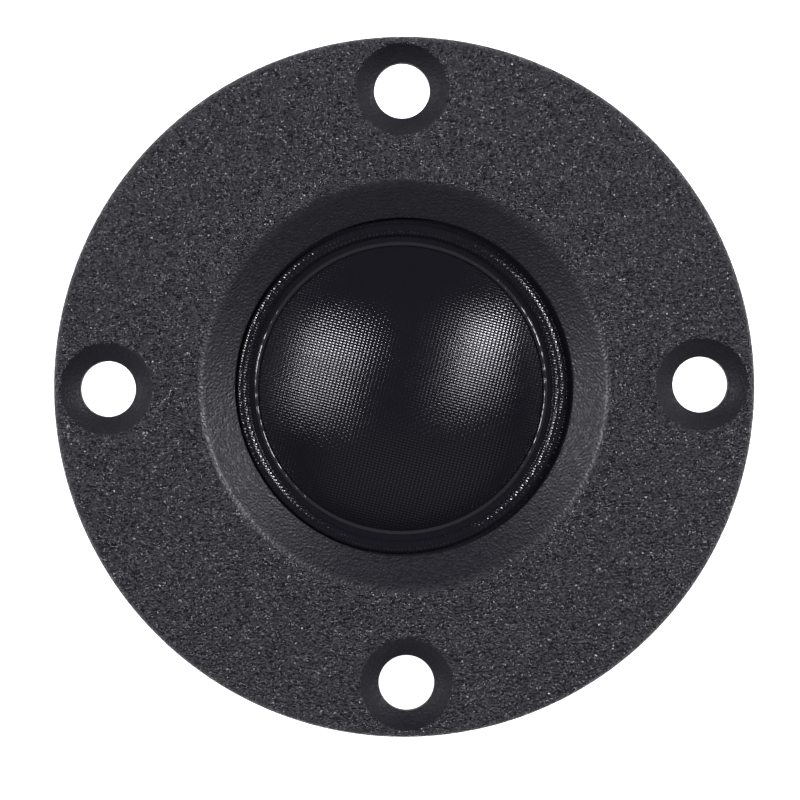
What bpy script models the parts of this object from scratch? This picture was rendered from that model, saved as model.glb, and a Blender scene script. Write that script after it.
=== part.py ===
"""A soft-dome car tweeter with a round, screw-down faceplate.

Metres, with +Z out of the face along the driver's axis. The origin is the middle of the rear
cup's flat back. Sizes below are in millimetres and are scaled by MM where shapes are made.

The driver is a stack. From the back: rear cup, gasket, yoke, magnet, top plate, carrier ring,
cloth diaphragm and faceplate. Each level is worked out from the one below it.
"""

import math

import bmesh
import bpy
from mathutils import Matrix, Vector

MM = 0.001

# Fits that several pieces share.
GLUE = 0.05  # between two bonded or clamped faces
SLIP = 0.10  # radial room of a piece that drops into a pocket
COIL_GAP = 0.20  # radial room each side of the moving coil

# Cloth diaphragm: the dome, its bond line to the coil and the half-roll surround.
DOME_RADIUS = 12.75
DOME_HEIGHT = 5.1
CLOTH = 0.2
BEAD_WIDTH = 0.22
BEAD_HEIGHT = 0.26
ROLL_FLAT = 0.47  # flat cloth between the bead and the roll
ROLL_RADIUS = 0.62
SURROUND_FLANGE_WIDTH = 3.35

# Faceplate.
FLANGE_THICKNESS = 2.8
FLANGE_EDGE_RADIUS = 0.6
FLANGE_LAND = 0.74  # from a countersink's rim to the flange's edge
ROLL_CLEARANCE = 0.17  # from the roll to the edge of the opening
DISH_WIDTH = 3.65  # from the opening's edge to the flange's flat
DISH_SLOPE = 35.0  # degrees
DISH_LIP_RADIUS = 1.85  # rounding between the dish and the flange
LIP_THICKNESS = 0.6
SKIRT_WALL = 1.05
SKIRT_DEPTH = 3.3

# Four countersunk mounting holes.
HOLE_RADIUS = 2.47
HOLE_COUNT = 4
HOLE_WEB = 0.68  # between a hole and the skirt
SINK_RIM_RADIUS = 3.96
SINK_BREAK_RADIUS = 3.3
SINK_BREAK_DEPTH = 0.9
SINK_DEPTH = 1.35

# Voice coil.
FORMER_WALL = 0.1
FORMER_LENGTH = 3.3
WINDING_BUILD = 0.36
WINDING_LENGTH = 2.0

# Motor.
TOP_PLATE_THICKNESS = 2.5
TOP_PLATE_LAND = 2.0  # from the screws' circle to the edge
CARRIER_THICKNESS = 0.8
MAGNET_SETBACK = 1.27  # from the top plate's bore to the magnet's
MAGNET_THICKNESS = 4.8
YOKE_THICKNESS = 3.0
VENT_RADIUS = 4.0
COPPER = 0.2
CHAMFER = 0.3

# Rear chamber.
CUP_HEIGHT = 6.6
CUP_WALL = 1.5
CUP_EDGE_RADIUS = 0.8
CUP_INNER_BEVEL = 0.6
GASKET_THICKNESS = 0.4

# Assembly screws, from behind through the top plate into the faceplate.
SCREW_ANGLES = (90.0, 210.0, 330.0)
SCREW_RADIUS = 0.95
SCREW_GRIP = 4.7
SCREW_HEAD_RADIUS = 1.8
SCREW_HEAD_HEIGHT = 1.3
SCREW_HEAD_ROOM = 0.5  # between a head and the magnet
PILOT_WALL = 0.4  # between a pilot hole and the carrier's pocket

# Terminal board, on the -Y side under the top plate.
BOARD_HALF_LENGTH = 8.0
BOARD_THICKNESS = 0.95
WIRE_X = 1.6
WIRE_RADIUS = 0.13
SOLDER_X = 2.2
SOLDER_RADIUS = 0.42
TAB_START_X = 2.75
TAB_REACH = 6.3
POSITIVE_TAB = (4.8, 0.8)  # width, thickness
NEGATIVE_TAB = (2.8, 0.5)
RIVET_RADIUS = 0.55
RIVET_HEAD_RADIUS = 0.95
RIVET_HEAD_HEIGHT = 0.35

# Flats around a whole turn. The inner count divides the outer one, so that facets line up.
OUTER_STEPS = 72
INNER_STEPS = 36
HOLE_STEPS = 20
SMALL_STEPS = 14

# Radii of the diaphragm and the faceplate, from the dome out.
BEAD_INNER_RADIUS = DOME_RADIUS + GLUE
SURROUND_INNER_RADIUS = BEAD_INNER_RADIUS + BEAD_WIDTH + GLUE
ROLL_CENTRE_RADIUS = SURROUND_INNER_RADIUS + ROLL_FLAT + ROLL_RADIUS
OPENING_RADIUS = ROLL_CENTRE_RADIUS + ROLL_RADIUS + ROLL_CLEARANCE
DISH_RADIUS = OPENING_RADIUS + DISH_WIDTH
SURROUND_FLANGE_RADIUS = OPENING_RADIUS + SURROUND_FLANGE_WIDTH
CARRIER_INNER_RADIUS = OPENING_RADIUS + GLUE
CARRIER_RADIUS = SURROUND_FLANGE_RADIUS + 2.0 * SLIP
POCKET_RADIUS = CARRIER_RADIUS + SLIP
SCREW_CIRCLE_RADIUS = POCKET_RADIUS + PILOT_WALL + GLUE + SCREW_RADIUS
TOP_PLATE_RADIUS = SCREW_CIRCLE_RADIUS + TOP_PLATE_LAND
SKIRT_INNER_RADIUS = TOP_PLATE_RADIUS + SLIP
SKIRT_RADIUS = SKIRT_INNER_RADIUS + SKIRT_WALL
HOLE_CIRCLE_RADIUS = SKIRT_RADIUS + HOLE_WEB + HOLE_RADIUS
FLANGE_RADIUS = HOLE_CIRCLE_RADIUS + SINK_RIM_RADIUS + FLANGE_LAND

# Radii of the motor, around the coil: pole, copper, air, former, winding, air, top plate.
FORMER_INNER_RADIUS = DOME_RADIUS - FORMER_WALL - GLUE
FORMER_OUTER_RADIUS = FORMER_INNER_RADIUS + FORMER_WALL
WINDING_INNER_RADIUS = FORMER_OUTER_RADIUS + 0.4 * GLUE
WINDING_OUTER_RADIUS = WINDING_INNER_RADIUS + WINDING_BUILD
COPPER_RADIUS = FORMER_INNER_RADIUS - COIL_GAP
POLE_RADIUS = COPPER_RADIUS - COPPER - GLUE
GAP_RADIUS = WINDING_OUTER_RADIUS + COIL_GAP + GLUE
MAGNET_BORE_RADIUS = GAP_RADIUS + MAGNET_SETBACK
MAGNET_RADIUS = SCREW_CIRCLE_RADIUS - SCREW_HEAD_RADIUS - SCREW_HEAD_ROOM
YOKE_RADIUS = MAGNET_RADIUS + GLUE
CUP_RADIUS = YOKE_RADIUS
PAD_RADIUS = DOME_RADIUS - 2.15

# Levels along the axis, from the back to the front.
GASKET_Z = CUP_HEIGHT + GLUE
YOKE_Z = GASKET_Z + GASKET_THICKNESS + GLUE
YOKE_TOP_Z = YOKE_Z + YOKE_THICKNESS
MAGNET_Z = YOKE_TOP_Z + GLUE
TOP_PLATE_Z = MAGNET_Z + MAGNET_THICKNESS + GLUE
TOP_PLATE_TOP_Z = TOP_PLATE_Z + TOP_PLATE_THICKNESS
CARRIER_Z = TOP_PLATE_TOP_Z + GLUE
SURROUND_Z = CARRIER_Z + CARRIER_THICKNESS + GLUE
DOME_Z = SURROUND_Z + GLUE
LIP_Z = SURROUND_Z + CLOTH + GLUE
OPENING_Z = LIP_Z + LIP_THICKNESS
CONE_WIDTH = DISH_WIDTH - DISH_LIP_RADIUS * math.sin(math.radians(DISH_SLOPE))
CONE_DEPTH = CONE_WIDTH * math.tan(math.radians(DISH_SLOPE))
DISH_DEPTH = CONE_DEPTH + DISH_LIP_RADIUS * (1.0 - math.cos(math.radians(DISH_SLOPE)))
FRONT_Z = OPENING_Z + DISH_DEPTH
REAR_Z = FRONT_Z - FLANGE_THICKNESS
SKIRT_Z = REAR_Z - SKIRT_DEPTH
BOARD_TOP_Z = TOP_PLATE_Z - GLUE
BOARD_Z = BOARD_TOP_Z - BOARD_THICKNESS

# Places on the terminals' side.
BOARD_INNER_Y = -(MAGNET_RADIUS + 0.45)
BOARD_OUTER_Y = -(TOP_PLATE_RADIUS - 0.7)
SOLDER_Y = -(POCKET_RADIUS + 0.5)
SOLDER_Z = BOARD_Z - GLUE - SOLDER_RADIUS


def clear_scene():
    for obj in list(bpy.data.objects):
        bpy.data.objects.remove(obj, do_unlink=True)


def make_material(name, colour, roughness, metallic=0.0):
    material = bpy.data.materials.new(name)
    material.use_nodes = True
    shader = material.node_tree.nodes["Principled BSDF"]
    shader.inputs["Base Color"].default_value = (*colour, 1.0)
    shader.inputs["Roughness"].default_value = roughness
    shader.inputs["Metallic"].default_value = metallic
    material.diffuse_color = (*colour, 1.0)
    return material


def arc(centre_r, centre_z, radius, start, end, steps):
    """Points of an arc in the profile plane; angles in degrees from outward, up being 90."""
    points = []
    for i in range(steps + 1):
        angle = math.radians(start + (end - start) * i / steps)
        points.append((centre_r + radius * math.cos(angle), centre_z + radius * math.sin(angle)))
    return points


def turned_mesh(name, profile, steps):
    """A profile of (radius, height) points spun about Z. It closes on itself, or on the axis."""
    bm = bmesh.new()
    corners = [bm.verts.new((max(r, 0.0) * MM, 0.0, z * MM)) for r, z in profile]
    edges = [bm.edges.new(pair) for pair in zip(corners, corners[1:])]
    on_axis = profile[0][0] < 1e-6 and profile[-1][0] < 1e-6
    if not on_axis:
        edges.append(bm.edges.new((corners[-1], corners[0])))
    bmesh.ops.spin(
        bm,
        geom=corners + edges,
        cent=(0.0, 0.0, 0.0),
        axis=(0.0, 0.0, 1.0),
        angle=2.0 * math.pi,
        steps=steps,
        use_merge=True,
    )
    bmesh.ops.remove_doubles(bm, verts=bm.verts, dist=1e-7)
    bmesh.ops.recalc_face_normals(bm, faces=bm.faces)
    mesh = bpy.data.meshes.new(name)
    bm.to_mesh(mesh)
    bm.free()
    mesh.shade_smooth()
    mesh.set_sharp_from_angle(angle=math.radians(35.0))
    return mesh


def box_mesh(name, low, high):
    low = Vector(low) * MM
    high = Vector(high) * MM
    size = high - low
    bm = bmesh.new()
    bmesh.ops.create_cube(bm, size=1.0)
    scale = Matrix.Diagonal((size.x, size.y, size.z, 1.0))
    bmesh.ops.transform(bm, matrix=Matrix.Translation((low + high) / 2.0) @ scale, verts=bm.verts)
    mesh = bpy.data.meshes.new(name)
    bm.to_mesh(mesh)
    bm.free()
    return mesh


def add_piece(name, mesh, material, parent, at=(0.0, 0.0, 0.0), turn=0.0):
    """A visible sub-part, placed in millimetres and turned about Z in degrees."""
    obj = bpy.data.objects.new(name, mesh)
    if not mesh.materials:
        mesh.materials.append(material)
    obj.location = Vector(at) * MM
    obj.rotation_euler.z = math.radians(turn)
    obj.parent = parent
    bpy.context.scene.collection.objects.link(obj)
    return obj


def cut(obj, mesh, at=(0.0, 0.0, 0.0), turn=0.0):
    """Takes a cutter's shape away from obj."""
    cutter = bpy.data.objects.new(mesh.name, mesh)
    cutter.location = Vector(at) * MM
    cutter.rotation_euler.z = math.radians(turn)
    cutter.hide_render = True
    cutter.display_type = "WIRE"
    bpy.context.scene.collection.objects.link(cutter)
    boolean = obj.modifiers.new(mesh.name, "BOOLEAN")
    boolean.operation = "DIFFERENCE"
    boolean.solver = "EXACT"
    boolean.object = cutter


def on_circle(radius, angle):
    """The (x, y) of a point on a circle about the axis; angle in degrees from +X."""
    return radius * math.cos(math.radians(angle)), radius * math.sin(math.radians(angle))


def rod_profile(radius, low, high):
    return [(0.0, high), (radius, high), (radius, low), (0.0, low)]


def ring_profile(inner, outer, low, high, chamfer=0.0):
    if not chamfer:
        return [(inner, high), (outer, high), (outer, low), (inner, low)]
    return [
        (inner + chamfer, high),
        (outer - chamfer, high),
        (outer, high - chamfer),
        (outer, low + chamfer),
        (outer - chamfer, low),
        (inner + chamfer, low),
        (inner, low + chamfer),
        (inner, high - chamfer),
    ]


def make_faceplate(parent, material):
    """Flange, dished mouth, lip over the surround and the skirt that centres the motor."""
    draft = 0.05
    edge = FLANGE_EDGE_RADIUS
    lip = DISH_LIP_RADIUS
    profile = [(OPENING_RADIUS, OPENING_Z)]
    profile += arc(DISH_RADIUS, FRONT_Z - lip, lip, 90.0 + DISH_SLOPE, 90.0, 4)
    profile += arc(FLANGE_RADIUS - edge, FRONT_Z - edge, edge, 90.0, 0.0, 3)
    profile += [
        (FLANGE_RADIUS - draft, REAR_Z + 0.2),
        (FLANGE_RADIUS - 0.25, REAR_Z),
        (SKIRT_RADIUS, REAR_Z),
        (SKIRT_RADIUS - draft, SKIRT_Z),
        (SKIRT_INNER_RADIUS + draft, SKIRT_Z),
        (SKIRT_INNER_RADIUS, CARRIER_Z),
        (POCKET_RADIUS, CARRIER_Z),
        (POCKET_RADIUS, LIP_Z),
        (OPENING_RADIUS, LIP_Z),
    ]
    obj = add_piece("faceplate", turned_mesh("faceplate", profile, OUTER_STEPS), material, parent)

    above = 1.0
    hole = [
        (0.0, FRONT_Z + above),
        (SINK_RIM_RADIUS, FRONT_Z + above),
        (SINK_RIM_RADIUS, FRONT_Z),
        (SINK_BREAK_RADIUS, FRONT_Z - SINK_BREAK_DEPTH),
        (HOLE_RADIUS, FRONT_Z - SINK_DEPTH),
        (HOLE_RADIUS, REAR_Z - above),
        (0.0, REAR_Z - above),
    ]
    for i in range(HOLE_COUNT):
        x, y = on_circle(HOLE_CIRCLE_RADIUS, i * 360.0 / HOLE_COUNT)
        cut(obj, turned_mesh(f"cut_mounting_hole_{i + 1}", hole, HOLE_STEPS), (x, y, 0.0))

    pilot = rod_profile(SCREW_RADIUS + GLUE, CARRIER_Z - above, TOP_PLATE_Z + SCREW_GRIP + 0.2)
    for i, angle in enumerate(SCREW_ANGLES):
        x, y = on_circle(SCREW_CIRCLE_RADIUS, angle)
        cut(obj, turned_mesh(f"cut_pilot_hole_{i + 1}", pilot, SMALL_STEPS), (x, y, 0.0))

    half = SOLDER_X + 0.45
    low = (-half, SOLDER_Y - 0.6, CARRIER_Z - above)
    high = (half, -POCKET_RADIUS + 0.4, CARRIER_Z + 0.75)
    cut(obj, box_mesh("cut_wire_relief", low, high))
    return obj


def make_carrier(parent, material):
    """Ring that holds the edge of the cloth up, with two tunnels for the coil's leads."""
    profile = ring_profile(
        CARRIER_INNER_RADIUS, CARRIER_RADIUS, CARRIER_Z, CARRIER_Z + CARRIER_THICKNESS
    )
    mesh = turned_mesh("diaphragm_carrier", profile, INNER_STEPS)
    obj = add_piece("diaphragm_carrier", mesh, material, parent)
    for name, side in (("negative", -1.0), ("positive", 1.0)):
        low = (side * WIRE_X - 0.35, -CARRIER_RADIUS - 1.0, CARRIER_Z - 1.0)
        high = (side * WIRE_X + 0.35, -CARRIER_INNER_RADIUS + 1.0, CARRIER_Z + 0.5)
        cut(obj, box_mesh(f"cut_lead_tunnel_{name}", low, high))
    return obj


def make_dome(parent, material):
    """A spherical cap of cloth, open underneath."""
    sphere = (DOME_RADIUS**2 + DOME_HEIGHT**2) / (2.0 * DOME_HEIGHT)
    centre = DOME_Z + DOME_HEIGHT - sphere
    drop = DOME_Z - centre
    outer_end = math.degrees(math.asin(drop / sphere))
    inner_end = math.degrees(math.asin(drop / (sphere - CLOTH)))
    profile = arc(0.0, centre, sphere, 90.0, outer_end, 8)
    profile += arc(0.0, centre, sphere - CLOTH, inner_end, 90.0, 7)
    return add_piece("dome", turned_mesh("dome", profile, INNER_STEPS), material, parent)


def make_surround(parent, material):
    """Flat inner edge, half-roll and the flange that is bonded to the carrier."""
    middle = SURROUND_Z + CLOTH / 2.0
    top = SURROUND_Z + CLOTH
    upper_end = math.degrees(math.asin((top - middle) / ROLL_RADIUS))
    lower_end = -math.degrees(math.asin((middle - SURROUND_Z) / (ROLL_RADIUS - CLOTH)))
    profile = [(SURROUND_INNER_RADIUS, top)]
    profile += arc(ROLL_CENTRE_RADIUS, middle, ROLL_RADIUS, 180.0 - upper_end, upper_end, 8)
    profile += [(SURROUND_FLANGE_RADIUS, top), (SURROUND_FLANGE_RADIUS, SURROUND_Z)]
    # Underneath, the same roll less the cloth's thickness.
    under = arc(ROLL_CENTRE_RADIUS, middle, ROLL_RADIUS - CLOTH, lower_end, 180.0 - lower_end, 8)
    profile += under
    profile += [(SURROUND_INNER_RADIUS, SURROUND_Z)]
    mesh = turned_mesh("surround", profile, INNER_STEPS)
    return add_piece("surround", mesh, material, parent)


def make_bead(parent, material):
    """The ring of glue where dome, surround and coil former meet."""
    middle = BEAD_INNER_RADIUS + BEAD_WIDTH / 2.0
    profile = [(BEAD_INNER_RADIUS, DOME_Z)]
    for i in range(5):
        angle = math.radians(180.0 - 45.0 * i)
        rise = DOME_Z + 0.4 * BEAD_HEIGHT + 0.6 * BEAD_HEIGHT * math.sin(angle)
        profile.append((middle + BEAD_WIDTH / 2.0 * math.cos(angle), rise))
    profile.append((BEAD_INNER_RADIUS + BEAD_WIDTH, DOME_Z))
    return add_piece("bond_bead", turned_mesh("bond_bead", profile, INNER_STEPS), material, parent)


def make_voice_coil(parent, former_material, winding_material):
    """Former glued under the dome's edge, and the winding centred in the magnet's gap."""
    top = DOME_Z - GLUE
    former = ring_profile(FORMER_INNER_RADIUS, FORMER_OUTER_RADIUS, top - FORMER_LENGTH, top)
    mesh = turned_mesh("voice_coil_former", former, INNER_STEPS)
    add_piece("voice_coil_former", mesh, former_material, parent)
    middle = TOP_PLATE_Z + TOP_PLATE_THICKNESS / 2.0
    low = middle - WINDING_LENGTH / 2.0
    winding = ring_profile(WINDING_INNER_RADIUS, WINDING_OUTER_RADIUS, low, low + WINDING_LENGTH)
    mesh = turned_mesh("voice_coil_winding", winding, INNER_STEPS)
    add_piece("voice_coil_winding", mesh, winding_material, parent)


def make_top_plate(parent, material):
    """Front pole plate, with holes for the screws, the leads and the terminals' rivets."""
    profile = ring_profile(
        GAP_RADIUS, TOP_PLATE_RADIUS, TOP_PLATE_Z, TOP_PLATE_TOP_Z, CHAMFER
    )
    # The gap's own corners stay sharp, which keeps the field where the coil is.
    profile = [p for p in profile if p[0] > GAP_RADIUS + CHAMFER + 1e-6]
    profile = [(GAP_RADIUS, TOP_PLATE_TOP_Z)] + profile + [(GAP_RADIUS, TOP_PLATE_Z)]
    mesh = turned_mesh("top_plate", profile, INNER_STEPS)
    obj = add_piece("top_plate", mesh, material, parent)

    through = rod_profile(SCREW_RADIUS + 0.2, TOP_PLATE_Z - 1.0, TOP_PLATE_TOP_Z + 1.0)
    for i, angle in enumerate(SCREW_ANGLES):
        x, y = on_circle(SCREW_CIRCLE_RADIUS, angle)
        cut(obj, turned_mesh(f"cut_screw_hole_{i + 1}", through, SMALL_STEPS), (x, y, 0.0))

    half = WIRE_X + 0.6
    low = (-half, SOLDER_Y - 0.45, TOP_PLATE_Z - 1.0)
    high = (half, SOLDER_Y + 0.45, TOP_PLATE_TOP_Z + 1.0)
    cut(obj, box_mesh("cut_lead_slot", low, high))

    relief = rod_profile(RIVET_HEAD_RADIUS + 0.25, TOP_PLATE_Z - 1.0, TOP_PLATE_Z + 0.6)
    for name, x, y in terminal_rivets():
        cut(obj, turned_mesh(f"cut_rivet_relief_{name}", relief, SMALL_STEPS), (x, y, 0.0))

    blind = rod_profile(RIVET_RADIUS + GLUE, TOP_PLATE_Z - 1.0, TOP_PLATE_Z + 1.6)
    x, y = board_rivet()
    cut(obj, turned_mesh("cut_board_rivet", blind, SMALL_STEPS), (x, y, 0.0))
    return obj


def make_motor(parent, steel, nickel, copper):
    """Neodymium ring between the top plate and the yoke, whose pole has a copper cap."""
    magnet = ring_profile(
        MAGNET_BORE_RADIUS, MAGNET_RADIUS, MAGNET_Z, MAGNET_Z + MAGNET_THICKNESS, CHAMFER
    )
    mesh = turned_mesh("ring_magnet", magnet, INNER_STEPS)
    add_piece("ring_magnet", mesh, nickel, parent)

    yoke = [
        (VENT_RADIUS, TOP_PLATE_TOP_Z),
        (POLE_RADIUS - CHAMFER, TOP_PLATE_TOP_Z),
        (POLE_RADIUS, TOP_PLATE_TOP_Z - CHAMFER),
        (POLE_RADIUS, YOKE_TOP_Z),
        (YOKE_RADIUS - CHAMFER, YOKE_TOP_Z),
        (YOKE_RADIUS, YOKE_TOP_Z - CHAMFER),
        (YOKE_RADIUS, YOKE_Z + CHAMFER),
        (YOKE_RADIUS - CHAMFER, YOKE_Z),
        (VENT_RADIUS, YOKE_Z),
    ]
    add_piece("pole_yoke", turned_mesh("pole_yoke", yoke, INNER_STEPS), steel, parent)

    inside_z = TOP_PLATE_TOP_Z + GLUE
    mouth_radius = VENT_RADIUS + 1.0
    sleeve_z = TOP_PLATE_Z - 1.0
    cap = [
        (mouth_radius, inside_z + COPPER),
        (COPPER_RADIUS, inside_z + COPPER),
        (COPPER_RADIUS, sleeve_z),
        (COPPER_RADIUS - COPPER, sleeve_z),
        (COPPER_RADIUS - COPPER, inside_z),
        (mouth_radius, inside_z),
    ]
    add_piece("copper_cap", turned_mesh("copper_cap", cap, INNER_STEPS), copper, parent)


def make_damping(parent, felt, foam):
    """Felt on the pole under the dome, and open foam in the vent and the rear chamber."""
    pad_z = TOP_PLATE_TOP_Z + COPPER + 2.0 * GLUE
    pad = ring_profile(VENT_RADIUS + 1.0, PAD_RADIUS, pad_z, pad_z + 1.0)
    mesh = turned_mesh("pole_damping_pad", pad, INNER_STEPS)
    add_piece("pole_damping_pad", mesh, felt, parent)

    plug = rod_profile(VENT_RADIUS - SLIP, TOP_PLATE_TOP_Z - 4.0, TOP_PLATE_TOP_Z - 0.3)
    mesh = turned_mesh("vent_foam", plug, INNER_STEPS)
    add_piece("vent_foam", mesh, foam, parent)

    low = CUP_WALL + GLUE
    disc = rod_profile(CUP_RADIUS - CUP_WALL - CUP_INNER_BEVEL - SLIP, low, low + 2.2)
    mesh = turned_mesh("rear_chamber_foam", disc, INNER_STEPS)
    add_piece("rear_chamber_foam", mesh, foam, parent)


def make_rear_chamber(parent, plastic, rubber):
    """A flat cup closed by the yoke's back plate, with a gasket between them."""
    inner = CUP_RADIUS - CUP_WALL
    corner = CUP_EDGE_RADIUS
    bevel = CUP_INNER_BEVEL
    cup = [(0.0, CUP_WALL), (inner - bevel, CUP_WALL), (inner, CUP_WALL + bevel)]
    cup += [(inner, CUP_HEIGHT), (CUP_RADIUS - 0.25, CUP_HEIGHT), (CUP_RADIUS, CUP_HEIGHT - 0.25)]
    cup += arc(CUP_RADIUS - corner, corner, corner, 0.0, -90.0, 4)
    cup.append((0.0, 0.0))
    mesh = turned_mesh("rear_chamber_cup", cup, INNER_STEPS)
    add_piece("rear_chamber_cup", mesh, plastic, parent)

    top = GASKET_Z + GASKET_THICKNESS
    gasket = ring_profile(inner + 0.15, CUP_RADIUS - 0.15, GASKET_Z, top)
    mesh = turned_mesh("rear_chamber_gasket", gasket, INNER_STEPS)
    add_piece("rear_chamber_gasket", mesh, rubber, parent)


def make_screws(parent, material):
    """Three pan-head screws with a cross recess, heads under the top plate."""
    seat = -GLUE
    head_top = seat - SCREW_HEAD_HEIGHT
    profile = [
        (0.0, SCREW_GRIP),
        (0.3, SCREW_GRIP),
        (SCREW_RADIUS, SCREW_GRIP - 0.6),
        (SCREW_RADIUS, seat),
        (SCREW_HEAD_RADIUS, seat),
        (SCREW_HEAD_RADIUS, seat - 0.45),
        (0.85 * SCREW_HEAD_RADIUS, seat - 0.9),
        (0.5 * SCREW_HEAD_RADIUS, head_top),
        (0.0, head_top),
    ]
    mesh = turned_mesh("assembly_screw", profile, SMALL_STEPS)
    for i, angle in enumerate(SCREW_ANGLES):
        x, y = on_circle(SCREW_CIRCLE_RADIUS, angle)
        turn = 25.0 * i
        place = (x, y, TOP_PLATE_Z)
        obj = add_piece(f"assembly_screw_{i + 1}", mesh, material, parent, place, turn)
        for arm, size in (("a", (0.95, 0.2)), ("b", (0.2, 0.95))):
            low = (-size[0], -size[1], head_top - 1.0)
            high = (size[0], size[1], head_top + 0.7)
            cut(obj, box_mesh(f"cut_cross_{i + 1}{arm}", low, high), place, turn)


def terminal_rivets():
    """(name, x, y) of the rivet through each terminal's foot."""
    return (
        ("positive", TAB_START_X + POSITIVE_TAB[0] / 2.0, SOLDER_Y - 0.15),
        ("negative", -TAB_START_X - NEGATIVE_TAB[0] / 2.0, SOLDER_Y - 0.15),
    )


def board_rivet():
    return 0.0, BOARD_OUTER_Y + RIVET_HEAD_RADIUS


def rivet_mesh(name, low, high, upper_head):
    """Flat head below low, shank up to high and, if asked, a clinched head above it."""
    profile = [(0.0, high)]
    if upper_head:
        profile = [(0.0, high + RIVET_HEAD_HEIGHT), (0.6 * RIVET_HEAD_RADIUS, high + RIVET_HEAD_HEIGHT)]
        profile += [(0.9 * RIVET_HEAD_RADIUS, high + GLUE)]
    head_low = low - RIVET_HEAD_HEIGHT
    profile += [
        (RIVET_RADIUS, high + (GLUE if upper_head else 0.0)),
        (RIVET_RADIUS, low),
        (RIVET_HEAD_RADIUS, low),
        (RIVET_HEAD_RADIUS, low - 0.15),
        (0.7 * RIVET_HEAD_RADIUS, head_low),
        (0.0, head_low),
    ]
    return turned_mesh(name, profile, SMALL_STEPS)


def make_terminal(name, side, tab, rivet_at, parent, material):
    """An L of plated brass: a foot on the board and a push-on tab that points back."""
    width, thickness = tab
    foot_top = BOARD_Z - GLUE
    tip_z = foot_top - thickness - TAB_REACH
    start = side * TAB_START_X
    end = side * (TAB_START_X + width)
    left, right = min(start, end), max(start, end)
    outer_y = BOARD_OUTER_Y + 0.1
    inner_y = SOLDER_Y + 0.8
    bend_y = outer_y + thickness
    nose = 0.2 * width

    bm = bmesh.new()
    # The side view of the L in the YZ plane, extruded along X to the tab's width.
    outline = [
        (inner_y, foot_top),
        (inner_y, foot_top - thickness),
        (bend_y, foot_top - thickness),
        (bend_y, tip_z),
        (outer_y, tip_z),
        (outer_y, foot_top - 0.4 * thickness),
        (outer_y + 0.4 * thickness, foot_top),
    ]
    side_face = bm.faces.new([bm.verts.new((left * MM, y * MM, z * MM)) for y, z in outline])
    swept = bmesh.ops.extrude_face_region(bm, geom=[side_face])
    moved = [v for v in swept["geom"] if isinstance(v, bmesh.types.BMVert)]
    bmesh.ops.translate(bm, vec=((right - left) * MM, 0.0, 0.0), verts=moved)
    # The tab's corners are cropped at its tip, as a lead-in for the push-on connector.
    tip = [e for e in bm.edges if all(v.co.z < (tip_z + 0.01) * MM for v in e.verts)]
    tip = [e for e in tip if abs(e.verts[0].co.x - e.verts[1].co.x) < 1e-7]
    bmesh.ops.bevel(bm, geom=tip, offset=nose * MM, segments=1, affect="EDGES")
    bmesh.ops.recalc_face_normals(bm, faces=bm.faces)
    mesh = bpy.data.meshes.new(f"terminal_{name}")
    bm.to_mesh(mesh)
    bm.free()
    obj = add_piece(f"terminal_{name}", mesh, material, parent)
    hole = rod_profile(RIVET_RADIUS + GLUE, foot_top - thickness - 1.0, foot_top + 1.0)
    x, y = rivet_at
    cut(obj, turned_mesh(f"cut_terminal_{name}", hole, SMALL_STEPS), (x, y, 0.0))
    return obj


def make_terminals(parent, board_material, brass, solder):
    """Insulating board under the top plate, its rivets, two push-on terminals and the solder."""
    low = (-BOARD_HALF_LENGTH, BOARD_OUTER_Y, BOARD_Z)
    high = (BOARD_HALF_LENGTH, BOARD_INNER_Y, BOARD_TOP_Z)
    board = add_piece("terminal_board", box_mesh("terminal_board", low, high), board_material, parent)
    half = SOLDER_X + 0.4
    low = (-half, SOLDER_Y - 0.55, BOARD_Z - 1.0)
    high = (half, BOARD_INNER_Y + 1.0, BOARD_TOP_Z + 1.0)
    cut(board, box_mesh("cut_board_notch", low, high))
    hole = rod_profile(RIVET_RADIUS + GLUE, BOARD_Z - 1.0, BOARD_TOP_Z + 1.0)
    for name, x, y in terminal_rivets():
        cut(board, turned_mesh(f"cut_board_{name}", hole, SMALL_STEPS), (x, y, 0.0))
    x, y = board_rivet()
    cut(board, turned_mesh("cut_board_middle", hole, SMALL_STEPS), (x, y, 0.0))
    mesh = rivet_mesh("board_rivet", BOARD_Z - GLUE, TOP_PLATE_Z + 1.5, False)
    add_piece("board_rivet", mesh, brass, parent, (x, y, 0.0))

    sides = {"positive": (1.0, POSITIVE_TAB), "negative": (-1.0, NEGATIVE_TAB)}
    for name, x, y in terminal_rivets():
        side, tab = sides[name]
        make_terminal(name, side, tab, (x, y), parent, brass)
        foot = BOARD_Z - GLUE - tab[1]
        mesh = rivet_mesh(f"terminal_rivet_{name}", foot - GLUE, BOARD_TOP_Z, True)
        add_piece(f"terminal_rivet_{name}", mesh, brass, parent, (x, y, 0.0))
        bm = bmesh.new()
        bmesh.ops.create_uvsphere(bm, u_segments=12, v_segments=8, radius=SOLDER_RADIUS * MM)
        mesh = bpy.data.meshes.new(f"solder_joint_{name}")
        bm.to_mesh(mesh)
        bm.free()
        mesh.shade_smooth()
        at = (side * SOLDER_X, SOLDER_Y, SOLDER_Z)
        add_piece(f"solder_joint_{name}", mesh, solder, parent, at)


def catmull_rom(points, per_span):
    """A smooth run through every point."""
    ends = [points[0] * 2 - points[1]] + points + [points[-1] * 2 - points[-2]]
    run = []
    for a, b, c, d in zip(ends, ends[1:], ends[2:], ends[3:]):
        for i in range(per_span):
            t = i / per_span
            run.append(
                0.5
                * (
                    b * 2.0
                    + (c - a) * t
                    + (a * 2.0 - b * 5.0 + c * 4.0 - d) * t**2
                    + (b * 3.0 - a - c * 3.0 + d) * t**3
                )
            )
    run.append(points[-1])
    return run


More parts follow.
